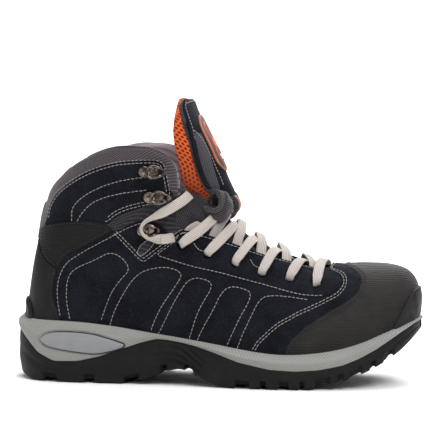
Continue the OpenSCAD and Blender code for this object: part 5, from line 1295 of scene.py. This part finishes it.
TAILP = [[-36.4,-41.4,109.6],[-40.6,-42.8,109.6],[-45.0,-43.8,110.6],[-48.4,-44.3,113.4],[-49.8,-44.4,117.4],[-47.8,-44.2,121.6],[-42.8,-43.6,125.0],[-35,-42,128.8],[-26,-38.4,134],[-19.5,-33.6,138.6],[-16.5,-27.5,142],
  [-19,-22.2,140],[-26,-22.8,133],[-32,-25,124],[-36,-27,114],[-39,-28.4,104],[-42,-29,96],[-46,-29.2,88]]
TAILN = [[.1,-1,-.2],[-.05,-.8,-.55],[-.4,-.55,-.75],[-.85,-.45,-.35],[-1,-.4,.1],[-.7,-.5,.55],[-.25,-.8,.5],[0,-1,.3],[.4,-1,.3],[.8,-.8,.4],[1,0,1],[.4,1,.8],[0,1,.5],[0,1,.3],[0,1,.2],[0,1,.1],[0,1,0],[0,1,0]]
for s, nm in ((-1, "lateral"), (1, "medial")):
    P = np.array(TAILP, float); Nn = unit(np.array(TAILN, float))
    P[:, 1] *= -s; Nn[:, 1] *= -s
    P[0] = lp[0] if s < 0 else lp[-1]
    A = crom(np.column_stack([P, Nn]), 14)
    d_ = np.concatenate([[0], np.cumsum(np.linalg.norm(np.diff(A[:, :3], axis=0), axis=1))])
    q_ = np.linspace(0, d_[-1], int(d_[-1]/.9))
    A = np.stack([np.interp(q_, d_, A[:, k]) for k in range(6)], -1)
    tp, tn = A[:, :3], unit(A[:, 3:])
    TT, TW, TN = carry(tp, tn)
    TW = unit(TW); TN = np.cross(TW, TT)
    k_ = .46+.54*smooth01((q_-24)/16)+.54*(1-smooth01((q_-1)/9))
    v, f, uv = sweep(tp, TW, TN, lace_sec(7.6, 1.7), np.column_stack([k_, 1+.8*(1-k_)]))
    tail = build("lace_tail_"+nm, v, f, LACE_MAT, uv)
    own(tail, ("lace_tail_"+nm,), "lace_textile")
    # the tip: a crimped plastic sleeve
    e = tp[-1]; dr = np.array([-math.sin(math.radians(26)), 0, -math.cos(math.radians(26))])
    dr = unit(tp[-1]-tp[-4]) if False else dr
    tt = np.linspace(-2, 18, 40); path = e+dr*tt[:, None]
    w_ = np.array([math.cos(math.radians(26)), 0, -math.sin(math.radians(26))]); n_ = np.cross(w_, dr)
    ang = np.linspace(0, 2*math.pi, 24, endpoint=False)
    rr = 1.75*np.clip(np.minimum((tt+2.3)/.6, (18.4-tt)/.9), .25, 1)**.5-.12*np.exp(-((tt-2)/.5)**2)-.12*np.exp(-((tt-14)/.5)**2)
    v, f, uv = sweep(path, np.repeat(w_[None], 40, 0), np.repeat(n_[None], 40, 0), np.column_stack([np.cos(ang), np.sin(ang)]), np.column_stack([rr*(1+.35*(tt < 2)*(2-tt)/4), rr*.9]))
    tip = own(build("lace_tip_"+nm, v, f, TIP, uv), ("lace_tips",), "lace_tip")
    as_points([tuple(p) for p in (tp[::3]*MM)]+[tuple(tp[-1]*MM)])

# ------------------------------------------------------------------ hooks
def place(V, s, at, rot):
    V = np.array(V, float); a = math.radians(rot)
    x = V[:, 0]*math.cos(a)-V[:, 1]*math.sin(a); y = V[:, 0]*math.sin(a)+V[:, 1]*math.cos(a)
    V = np.column_stack([x+at[0], y+at[1], V[:, 2]+at[2]])
    if s > 0:
        V[:, 1] *= -1
    return V
def lathe(prof, n=40):
    """turned about the local -Y axis"""
    prof = np.array(prof, float); a = np.linspace(0, 2*math.pi, n, endpoint=False)
    V = np.stack([prof[:, :1]*np.cos(a)[None], np.repeat(-prof[:, 1:2], n, 1), prof[:, :1]*np.sin(a)[None]], -1)
    m = len(prof)
    i = np.arange(m-1)[:, None]*n; j = np.arange(n)[None]; j2 = (j+1) % n
    Q = np.stack([i+j, i+j2, i+n+j2, i+n+j], -1).reshape(-1, 4)
    V = V.reshape(-1, 3)
    V = np.vstack([V, [[0, -prof[0, 1], 0], [0, -prof[-1, 1], 0]]]); j = np.arange(n)
    Tt = np.vstack([np.stack([(j+1) % n, j, np.full(n, m*n)], -1), np.stack([(m-1)*n+j, (m-1)*n+(j+1) % n, np.full(n, m*n+1)], -1)])
    return V, [Q, Tt], V[:, :2]
def plate(x0, x1, r0, r1, y, t):
    xs = np.linspace(0, math.pi, 14)
    px = np.concatenate([x0+r0*(-np.sin(np.linspace(math.pi/2, 0, 12)*1.0)), np.linspace(x0, x1, 10)[1:], x1+r1*np.sin(np.linspace(0, math.pi/2, 12))[1:]])
    hw = np.concatenate([r0*np.cos(np.linspace(math.pi/2, 0, 12)), np.linspace(r0, r1, 10)[1:], r1*np.cos(np.linspace(0, math.pi/2, 12))[1:]])
    P = np.column_stack([px, np.full(len(px), y), 0*px]); m = len(P)
    return sweep(P, np.repeat([[0, 0, 1.]], m, 0), np.repeat([[0, 1., 0]], m, 0), rounded(2, t, 13, 8), np.column_stack([np.maximum(hw, .25), np.ones(m)]))
def wire_loop(fun, r=1.0, m=72):
    t = np.linspace(0, 2*math.pi, m, endpoint=False)
    P = np.array([fun(a) for a in t]); T_ = unit(np.roll(P, -1, 0)-np.roll(P, 1, 0))
    b = unit(np.cross(T_, np.repeat([[0, 1., 0]], m, 0))); n_ = np.cross(b, T_)
    a = np.linspace(0, 2*math.pi, 14, endpoint=False)
    return sweep(P, b, n_, np.column_stack([np.cos(a)*r*1.15, np.sin(a)*r]), closed=True)
def hook(s, at, rot, gap, length):
    c = length
    def tear(a):
        x = c*.56+c*.46*math.cos(a); z = 4.1*math.sin(a)*(1-.38*math.cos(a))
        return [x, -gap+(gap-.9)*float(smooth01((x-c*.72)/(c*.3))), z]
    parts = [plate(0, c*.5, 4.7, 2.6, -.1, 1.25), wire_loop(tear), 
             sweep(np.array([[c*.05, -.6, 0], [c*.02, -gap*.6, 0], [c*.14, -gap, 0]]), np.repeat([[0, 0, 1.]], 3, 0), unit(np.array([[-1., 0, 0], [-1, -.3, 0], [-.6, -1, 0]])), rounded(6.4, 1.2, 11))]
    cap = lathe([[4.35,-.2],[4.5,.3],[4.4,.8],[3.9,1.25],[3.0,1.5],[2.5,1.35],[2.1,1.45],[1.2,1.75],[.4,1.85]])
    parts2 = cap
    out = []
    v, f, uv = merge(parts)
    v2, f2, uv2 = cap
    v2 = v2+np.array([0, -gap*.25-.4, 0])
    fl = lambda fs: [x[:, ::-1] for x in fs] if s > 0 else fs
    return (place(v, s, at, rot), fl(f), uv), (place(v2, s, at, rot), fl(f2), uv2)
caps = []
for nm, at, rot, gap, ln_ in (("top_hooks", (-47.6, -41.6, 159.6), 5, 4.2, 15.2), ("middle_hooks", (-44.4, -39.7, 140.4), 5, 4.2, 15.2), ("lock_hooks", (-49.6, -39.2, 115.6), 6, 5.6, 11.6)):
    bodies = []
    for s in (-1, 1):
        a, b = hook(s, at, rot, gap, ln_)
        bodies.append(a); caps.append(b)
    v, f, uv = merge(bodies)
    own(build(nm, v, f, METAL, uv, weld=.001), (nm,), "hook_metal")
v, f, uv = merge(caps)
own(build("hook_rivets", v, f, METAL, uv, weld=.001), ("hook_rivets",), "hook_metal")

# ------------------------------------------------------------------ sewing
def fresh(o):
    """outer vertices of a panel as they are now"""
    ob, n = o
    v = np.empty(len(ob.data.vertices)*3, np.float64); ob.data.vertices.foreach_get("co", v)
    return v.reshape(-1, 3)[:n]/MM
OUTER = [(fresh(ON[k]) if k in ON else o[0], o[1]) for k, o in enumerate(OUTER)]
OV = np.vstack([o[0] for o in OUTER]); off = np.cumsum([0]+[len(o[0]) for o in OUTER[:-1]])
OF = np.vstack([o[1]+k for o, k in zip(OUTER, off)])
TREE = BVHTree.FromPolygons(OV.tolist(), OF.tolist(), all_triangles=True)
def contour(Dp, c, mask):
    """lines of the dense grid where Dp = c, as chained 3-D points with normals"""
    F = Dp-c
    idx = np.arange(nU*nV).reshape(nU, nV)
    f = F.ravel(); P = np.concatenate([GP.reshape(-1, 3), GN.reshape(-1, 3), mask.reshape(-1, 1)], 1)
    a, b, c_, d = idx[:-1, :-1].ravel(), idx[1:, :-1].ravel(), idx[1:, 1:].ravel(), idx[:-1, 1:].ravel()
    T_ = np.vstack([np.stack([a, b, c_], 1), np.stack([a, c_, d], 1)])
    sg = f[T_] >= 0
    T_ = T_[(sg.any(1)) & (~sg.all(1))]
    nxt = {}; pts = {}
    for t in T_:
        ks = []
        for i, j in ((0, 1), (1, 2), (2, 0)):
            p, q = int(t[i]), int(t[j])
            if (f[p] >= 0) != (f[q] >= 0):
                k = (min(p, q), max(p, q)); ks.append(k)
                if k not in pts:
                    w = f[k[0]]/(f[k[0]]-f[k[1]]); pts[k] = P[k[0]]*(1-w)+P[k[1]]*w
        if len(ks) == 2:
            nxt.setdefault(ks[0], []).append(ks[1]); nxt.setdefault(ks[1], []).append(ks[0])
    seen = set(); out = []
    for start in sorted(nxt, key=lambda k: (len(nxt[k]), k)):
        if start in seen:
            continue
        chain = [start]; seen.add(start); cur = start
        while True:
            n_ = [k for k in nxt[cur] if k not in seen]
            if not n_:
                break
            cur = n_[0]; seen.add(cur); chain.append(cur)
        A = np.array([pts[k] for k in chain])
        run = []
        for r_ in A:
            if r_[6] > 0:
                run.append(r_)
            else:
                if len(run) > 8:
                    out.append(np.array(run))
                run = []
        if len(run) > 8:
            out.append(np.array(run))
    return out
def drop_on(p, n):
    """where the needle meets the work, from above along the surface normal"""
    hit = TREE.ray_cast(Vector(p+n*9), Vector(-n), 18)
    return (np.array(hit[0]), np.array(hit[1])) if hit[0] is not None else None
def side_on(x, z, s):
    hit = TREE.ray_cast(Vector((x, s*90, z)), Vector((0, -s, 0)), 90)
    return (np.array(hit[0]), np.array(hit[1])) if hit[0] is not None else None
STITCH = {"white": [], "black": []}
def one_stitch(pts, width, col):
    """a short thread that dives into the cloth at both ends"""
    a, n1 = pts[0]; m_, n2 = pts[1]; b, n3 = pts[2]
    if np.linalg.norm(b-a) > 5 or np.linalg.norm(b-a) < .6:
        return
    n2 = n2 if n2@n1 > 0 else n1
    P = np.array([a-n1*.25, a+(m_-a)*.25+n2*.18, m_+n2*.30, b+(m_-b)*.25+n2*.18, b-n3*.25])
    T_ = unit(np.gradient(P, axis=0)); W_ = unit(np.cross(T_, np.repeat(n2[None], 5, 0))); N_ = np.cross(W_, T_)
    ang = np.linspace(0, 2*math.pi, 7, endpoint=False)
    sc = np.array([.7, 1, 1.08, 1, .7])*width/2
    STITCH[col].append(sweep(P, W_, N_, np.column_stack([np.cos(ang), np.sin(ang)]), np.column_stack([sc, sc])))
rs = np.random.RandomState(7)
def sew(sample, length, col="white", pitch=3.1, stitch=2.2, width=.5, start=0.0):
    t = start
    while t+stitch < length:
        j = rs.uniform(-.12, .12)
        pts = [sample(q) for q in (t+j, t+stitch/2+j, t+stitch+j)]
        if all(p is not None for p in pts):
            one_stitch(pts, width, col)
        t += pitch
def sew_chain(A, col="white", **kw):
    A = A.copy()
    for _ in range(3):
        A[1:-1] = .5*A[1:-1]+.25*(A[:-2]+A[2:])
    d_ = np.concatenate([[0], np.cumsum(np.linalg.norm(np.diff(A[:, :3], axis=0), axis=1))])
    def sample(q):
        r_ = np.array([np.interp(q, d_, A[:, k]) for k in range(6)])
        return drop_on(r_[:3], r_[3:]/np.linalg.norm(r_[3:]))
    sew(sample, d_[-1], col, **kw)
def sew_contour(Dp, c, mask, col="white", **kw):
    for A in contour(Dp, c, mask):
        sew_chain(A, col, **kw)
def sew_side(pl, col="white", shift=0.0, sides=(-1, 1), **kw):
    pl = np.asarray(pl, float)
    if shift:
        g = np.gradient(pl, axis=0); nn = unit(np.column_stack([-g[:, 1], g[:, 0]])); pl = pl+nn*shift
    fine = resample(pl, step=.5)
    for s in sides:
        p3 = []
        for x, z in fine:
            h = side_on(x, z, s)
            if h is not None:
                p3.append(np.concatenate([h[0], h[1]]))
        if len(p3) < 6:
            continue
        A = np.array(p3)
        sew_chain(A, col, **kw)
up3 = D["UPPER"]-2.2
feather = GZ-rows_at(UU)[..., 1]-1.5
for k in LINES:
    if k in ("l2",):
        continue
    sew_side(LINES[k])
    if k == "v":
        sew_side(LINES[k], shift=2.3)
sew_contour(D["EYE"], 1.7, np.minimum(D["UPPER"]-3.2, 85-GX))
sew_contour(D["UPPER"], 2.4, np.minimum(np.minimum(D["EYE"]-1.2, hole_ch-1.0), 85-GX), pitch=2.9, stitch=2.0)
sew_contour(D["CUFF"], 1.7, np.minimum(np.minimum(6-np.abs(D["PATCH"])*0, D["UPPER"]+9), D["PATCH"]+600)*0+np.minimum(1.0, -D["PATCH"]-2.5))
sew_contour(D["CUFF"], 4.0, np.minimum(1.0, -D["PATCH"]-5.0))
sew_contour(D["FRONT"], 1.9, np.minimum(-D["TOE"]-.8, feather))
sew_contour(D["FRONT"], 3.9, np.minimum(-D["TOE"]-.8, feather))
sew_contour(D["TOE"], 1.8, feather, "black")
sew_contour(D["TOE"], 3.8, feather, "black")
sew_contour(D["PATCH"], 1.8, feather, "black")
sew_contour(D["HEEL"], 1.8, feather, "black")
# the second edge row of the quarter, switched off here; the V-shaped reinforcement behind the lock hook is the v line
# sewn twice above
sew_side(chaikin([[-119.2,50],[-120.9,60],[-121.6,69],[-120.3,77.5],[-116.5,86.5],[-110,93.5],[-103,97.6],[-96,100.8],[-84.3,107],[-72.3,113.2]], 1, False), pitch=2.2, stitch=1.5, width=.42) if False else None
# mesh window in the V
sew_side(chaikin([[-46.6,110.2],[-52.4,105.4],[-56,99.6],[-54.8,95.6],[-50.4,94.8],[-43.6,100.8],[-40.6,106]], 2, False), pitch=2.3, stitch=1.6, width=.5) if False else None
for pts_ in ([[-46.2,108.5],[-51.4,104.7],[-54.5,99.4],[-53.7,97.1],[-50.6,96.4],[-44.6,101.7],[-41.6,106.3]],
             [[-12,106],[-9,101.5],[-4,99.6],[1,101],[4.5,105]], [[30,94],[33,89.5],[38,88],[43,89],[46,92]]):
    sew_side(chaikin(pts_, 2, False), pitch=2.2, stitch=1.6, width=.5)
# bar tacks, switched off here
for x, z in ((-19.6, 101.2), (-72.6, 113.6), (85.5, 66.2)):
    for dx in (-.7, 0, .7):
        sew_side([[x+dx-.2, z-1.3], [x+dx, z+1.3]], pitch=3, stitch=2.2, width=.6) if False else None
# tongue sewing rides on the tongue
for col, mt in (("white", WHITE_T), ("black", BLACK_T)):
    v, f, uv = merge(STITCH[col])
    own(build("stitching_"+col, v, f, mt, uv), (), None)
# tongue sewing
TS = []
STITCH = {"white": TS, "black": []}
def sew_flap(yz_pts, **kw):
    p = resample(np.array(yz_pts, float), step=.5)
    A = []
    for y, z in p:
        hit = TREE.ray_cast(Vector((60, y, z)), Vector((-1, 0, 0)), 120)
        if hit[0] is not None:
            A.append(np.concatenate([np.array(hit[0]), np.array(hit[1])]))
    if len(A) > 6:
        sew_chain(np.array(A), **kw)
xf_, xe_, hw_ = flap_row(np.linspace(145, 213, 60)); zz_ = np.linspace(145, 213, 60)
for s in (-1, 1):
    sew_flap([[s*(hw_[i]*.93-1.2), zz_[i]] for i in range(34, 60)], pitch=2.6, stitch=1.8, width=.5)
    sew_flap([[s*12.6, 149], [s*12.6, 156], [s*14, 166], [s*14.2, 176], [s*15.5, 183], [s*19, 188.5], [s*22, 190.5]], pitch=2.6, stitch=1.8, width=.5)
sew_flap([[-17, 210.4], [-10, 211.6], [0, 212], [10, 211.6], [17, 210.4]], pitch=2.6, stitch=1.8, width=.5)
v, f, uv = merge(TS)
own(build("tongue_stitching", v, f, WHITE_T, uv), (), None, "tongue")

# ------------------------------------------------------------------ inner CAD parts keep their shape
for n_, m_ in (("shank", SHANK), ("lasting_board", BOARD), ("collar_foam", FOAM), ("heel_counter", STIFF), ("toe_puff", STIFF), ("side_backing", STIFF)):
    me = frame["nodes"][n_].data
    me.materials.clear(); me.materials.append(m_)
mb_ = frame["nodes"]["membrane_bootie"]
V = np.array([list(mb_.matrix_world @ q.co) for q in mb_.data.vertices])/MM
w_ = np.clip((V[:, 2]-92)/22, 0, 1)*np.clip((-70-V[:, 0])/14, 0, 1)
o_ = V[:, :2]-np.array([-88., 0]); o_ /= np.maximum(1, np.linalg.norm(o_, axis=1))[:, None]
V[:, :2] += o_*(3.4*w_)[:, None]                # behind the padded lining all the way up
V[:, 2] -= 4*np.clip((V[:, 2]-105)/20, 0, 1)    # and its top edge under the rolled rim
mb_.data.calc_loop_triangles()
own(build("bootie_film", V, np.array([list(t.vertices) for t in mb_.data.loop_triangles]), MEMBRANE), ("membrane_bootie",), "board")

# ------------------------------------------------------------------ studio
S.view_settings.view_transform = "Standard"
world = bpy.data.worlds.new("studio"); S.world = world; world.use_nodes = True
bg = world.node_tree.nodes["Background"]; bg.inputs[0].default_value = (1, 1, 1, 1); bg.inputs[1].default_value = .30
fm = Mat("studio_floor", .9, 0, spec=.1)
fm.col(fm.mix(fm.noise(fm.obj(), 900, 2), lin((252, 252, 252)), lin((255, 255, 255))))
bpy.ops.mesh.primitive_plane_add(size=1)
fl = bpy.context.active_object; fl.name = "floor"
fl.data.clear_geometry()
xs = np.array([[-6, -6, 0], [6, -6, 0]], float)
prof = [(-6, 0)]+[(-1+2.6+2.2*math.sin(a)*1.0, 2.2-2.2*math.cos(a)) for a in np.linspace(0, math.pi/2, 16)]+[(3.8, 8)]
prof = [(-6, 0)]+[(1.6+2.2*math.sin(a), 2.2-2.2*math.cos(a)) for a in np.linspace(0, math.pi/2, 16)]+[(3.8, 8)]
vs = [(x, y, z-.0002) for y, z in prof for x in (-7, 7)]
fs_ = [(2*i, 2*i+1, 2*i+3, 2*i+2) for i in range(len(prof)-1)]
fl.data.from_pydata(vs, [], fs_); fl.data.materials.append(fm.m)
for p in fl.data.polygons:
    p.use_smooth = True
key = area("key", (1.0, -1.3, 1.8), (0, 0, .09), 1.1, 33)
fill = area("fill", (-1.7, -1.4, 1.0), (0, 0, .09), 1.5, 5.5)
rim_ = area("rim", (.3, 1.5, 1.6), (0, 0, .12), 1.2, 20)
top_ = area("top", (0, -.2, 2.2), (0, 0, 0), 1.3, 24)
back_ = area("backdrop", (0, 1.7, 3.2), (0, 3.9, 1.6), 3.0, 150)
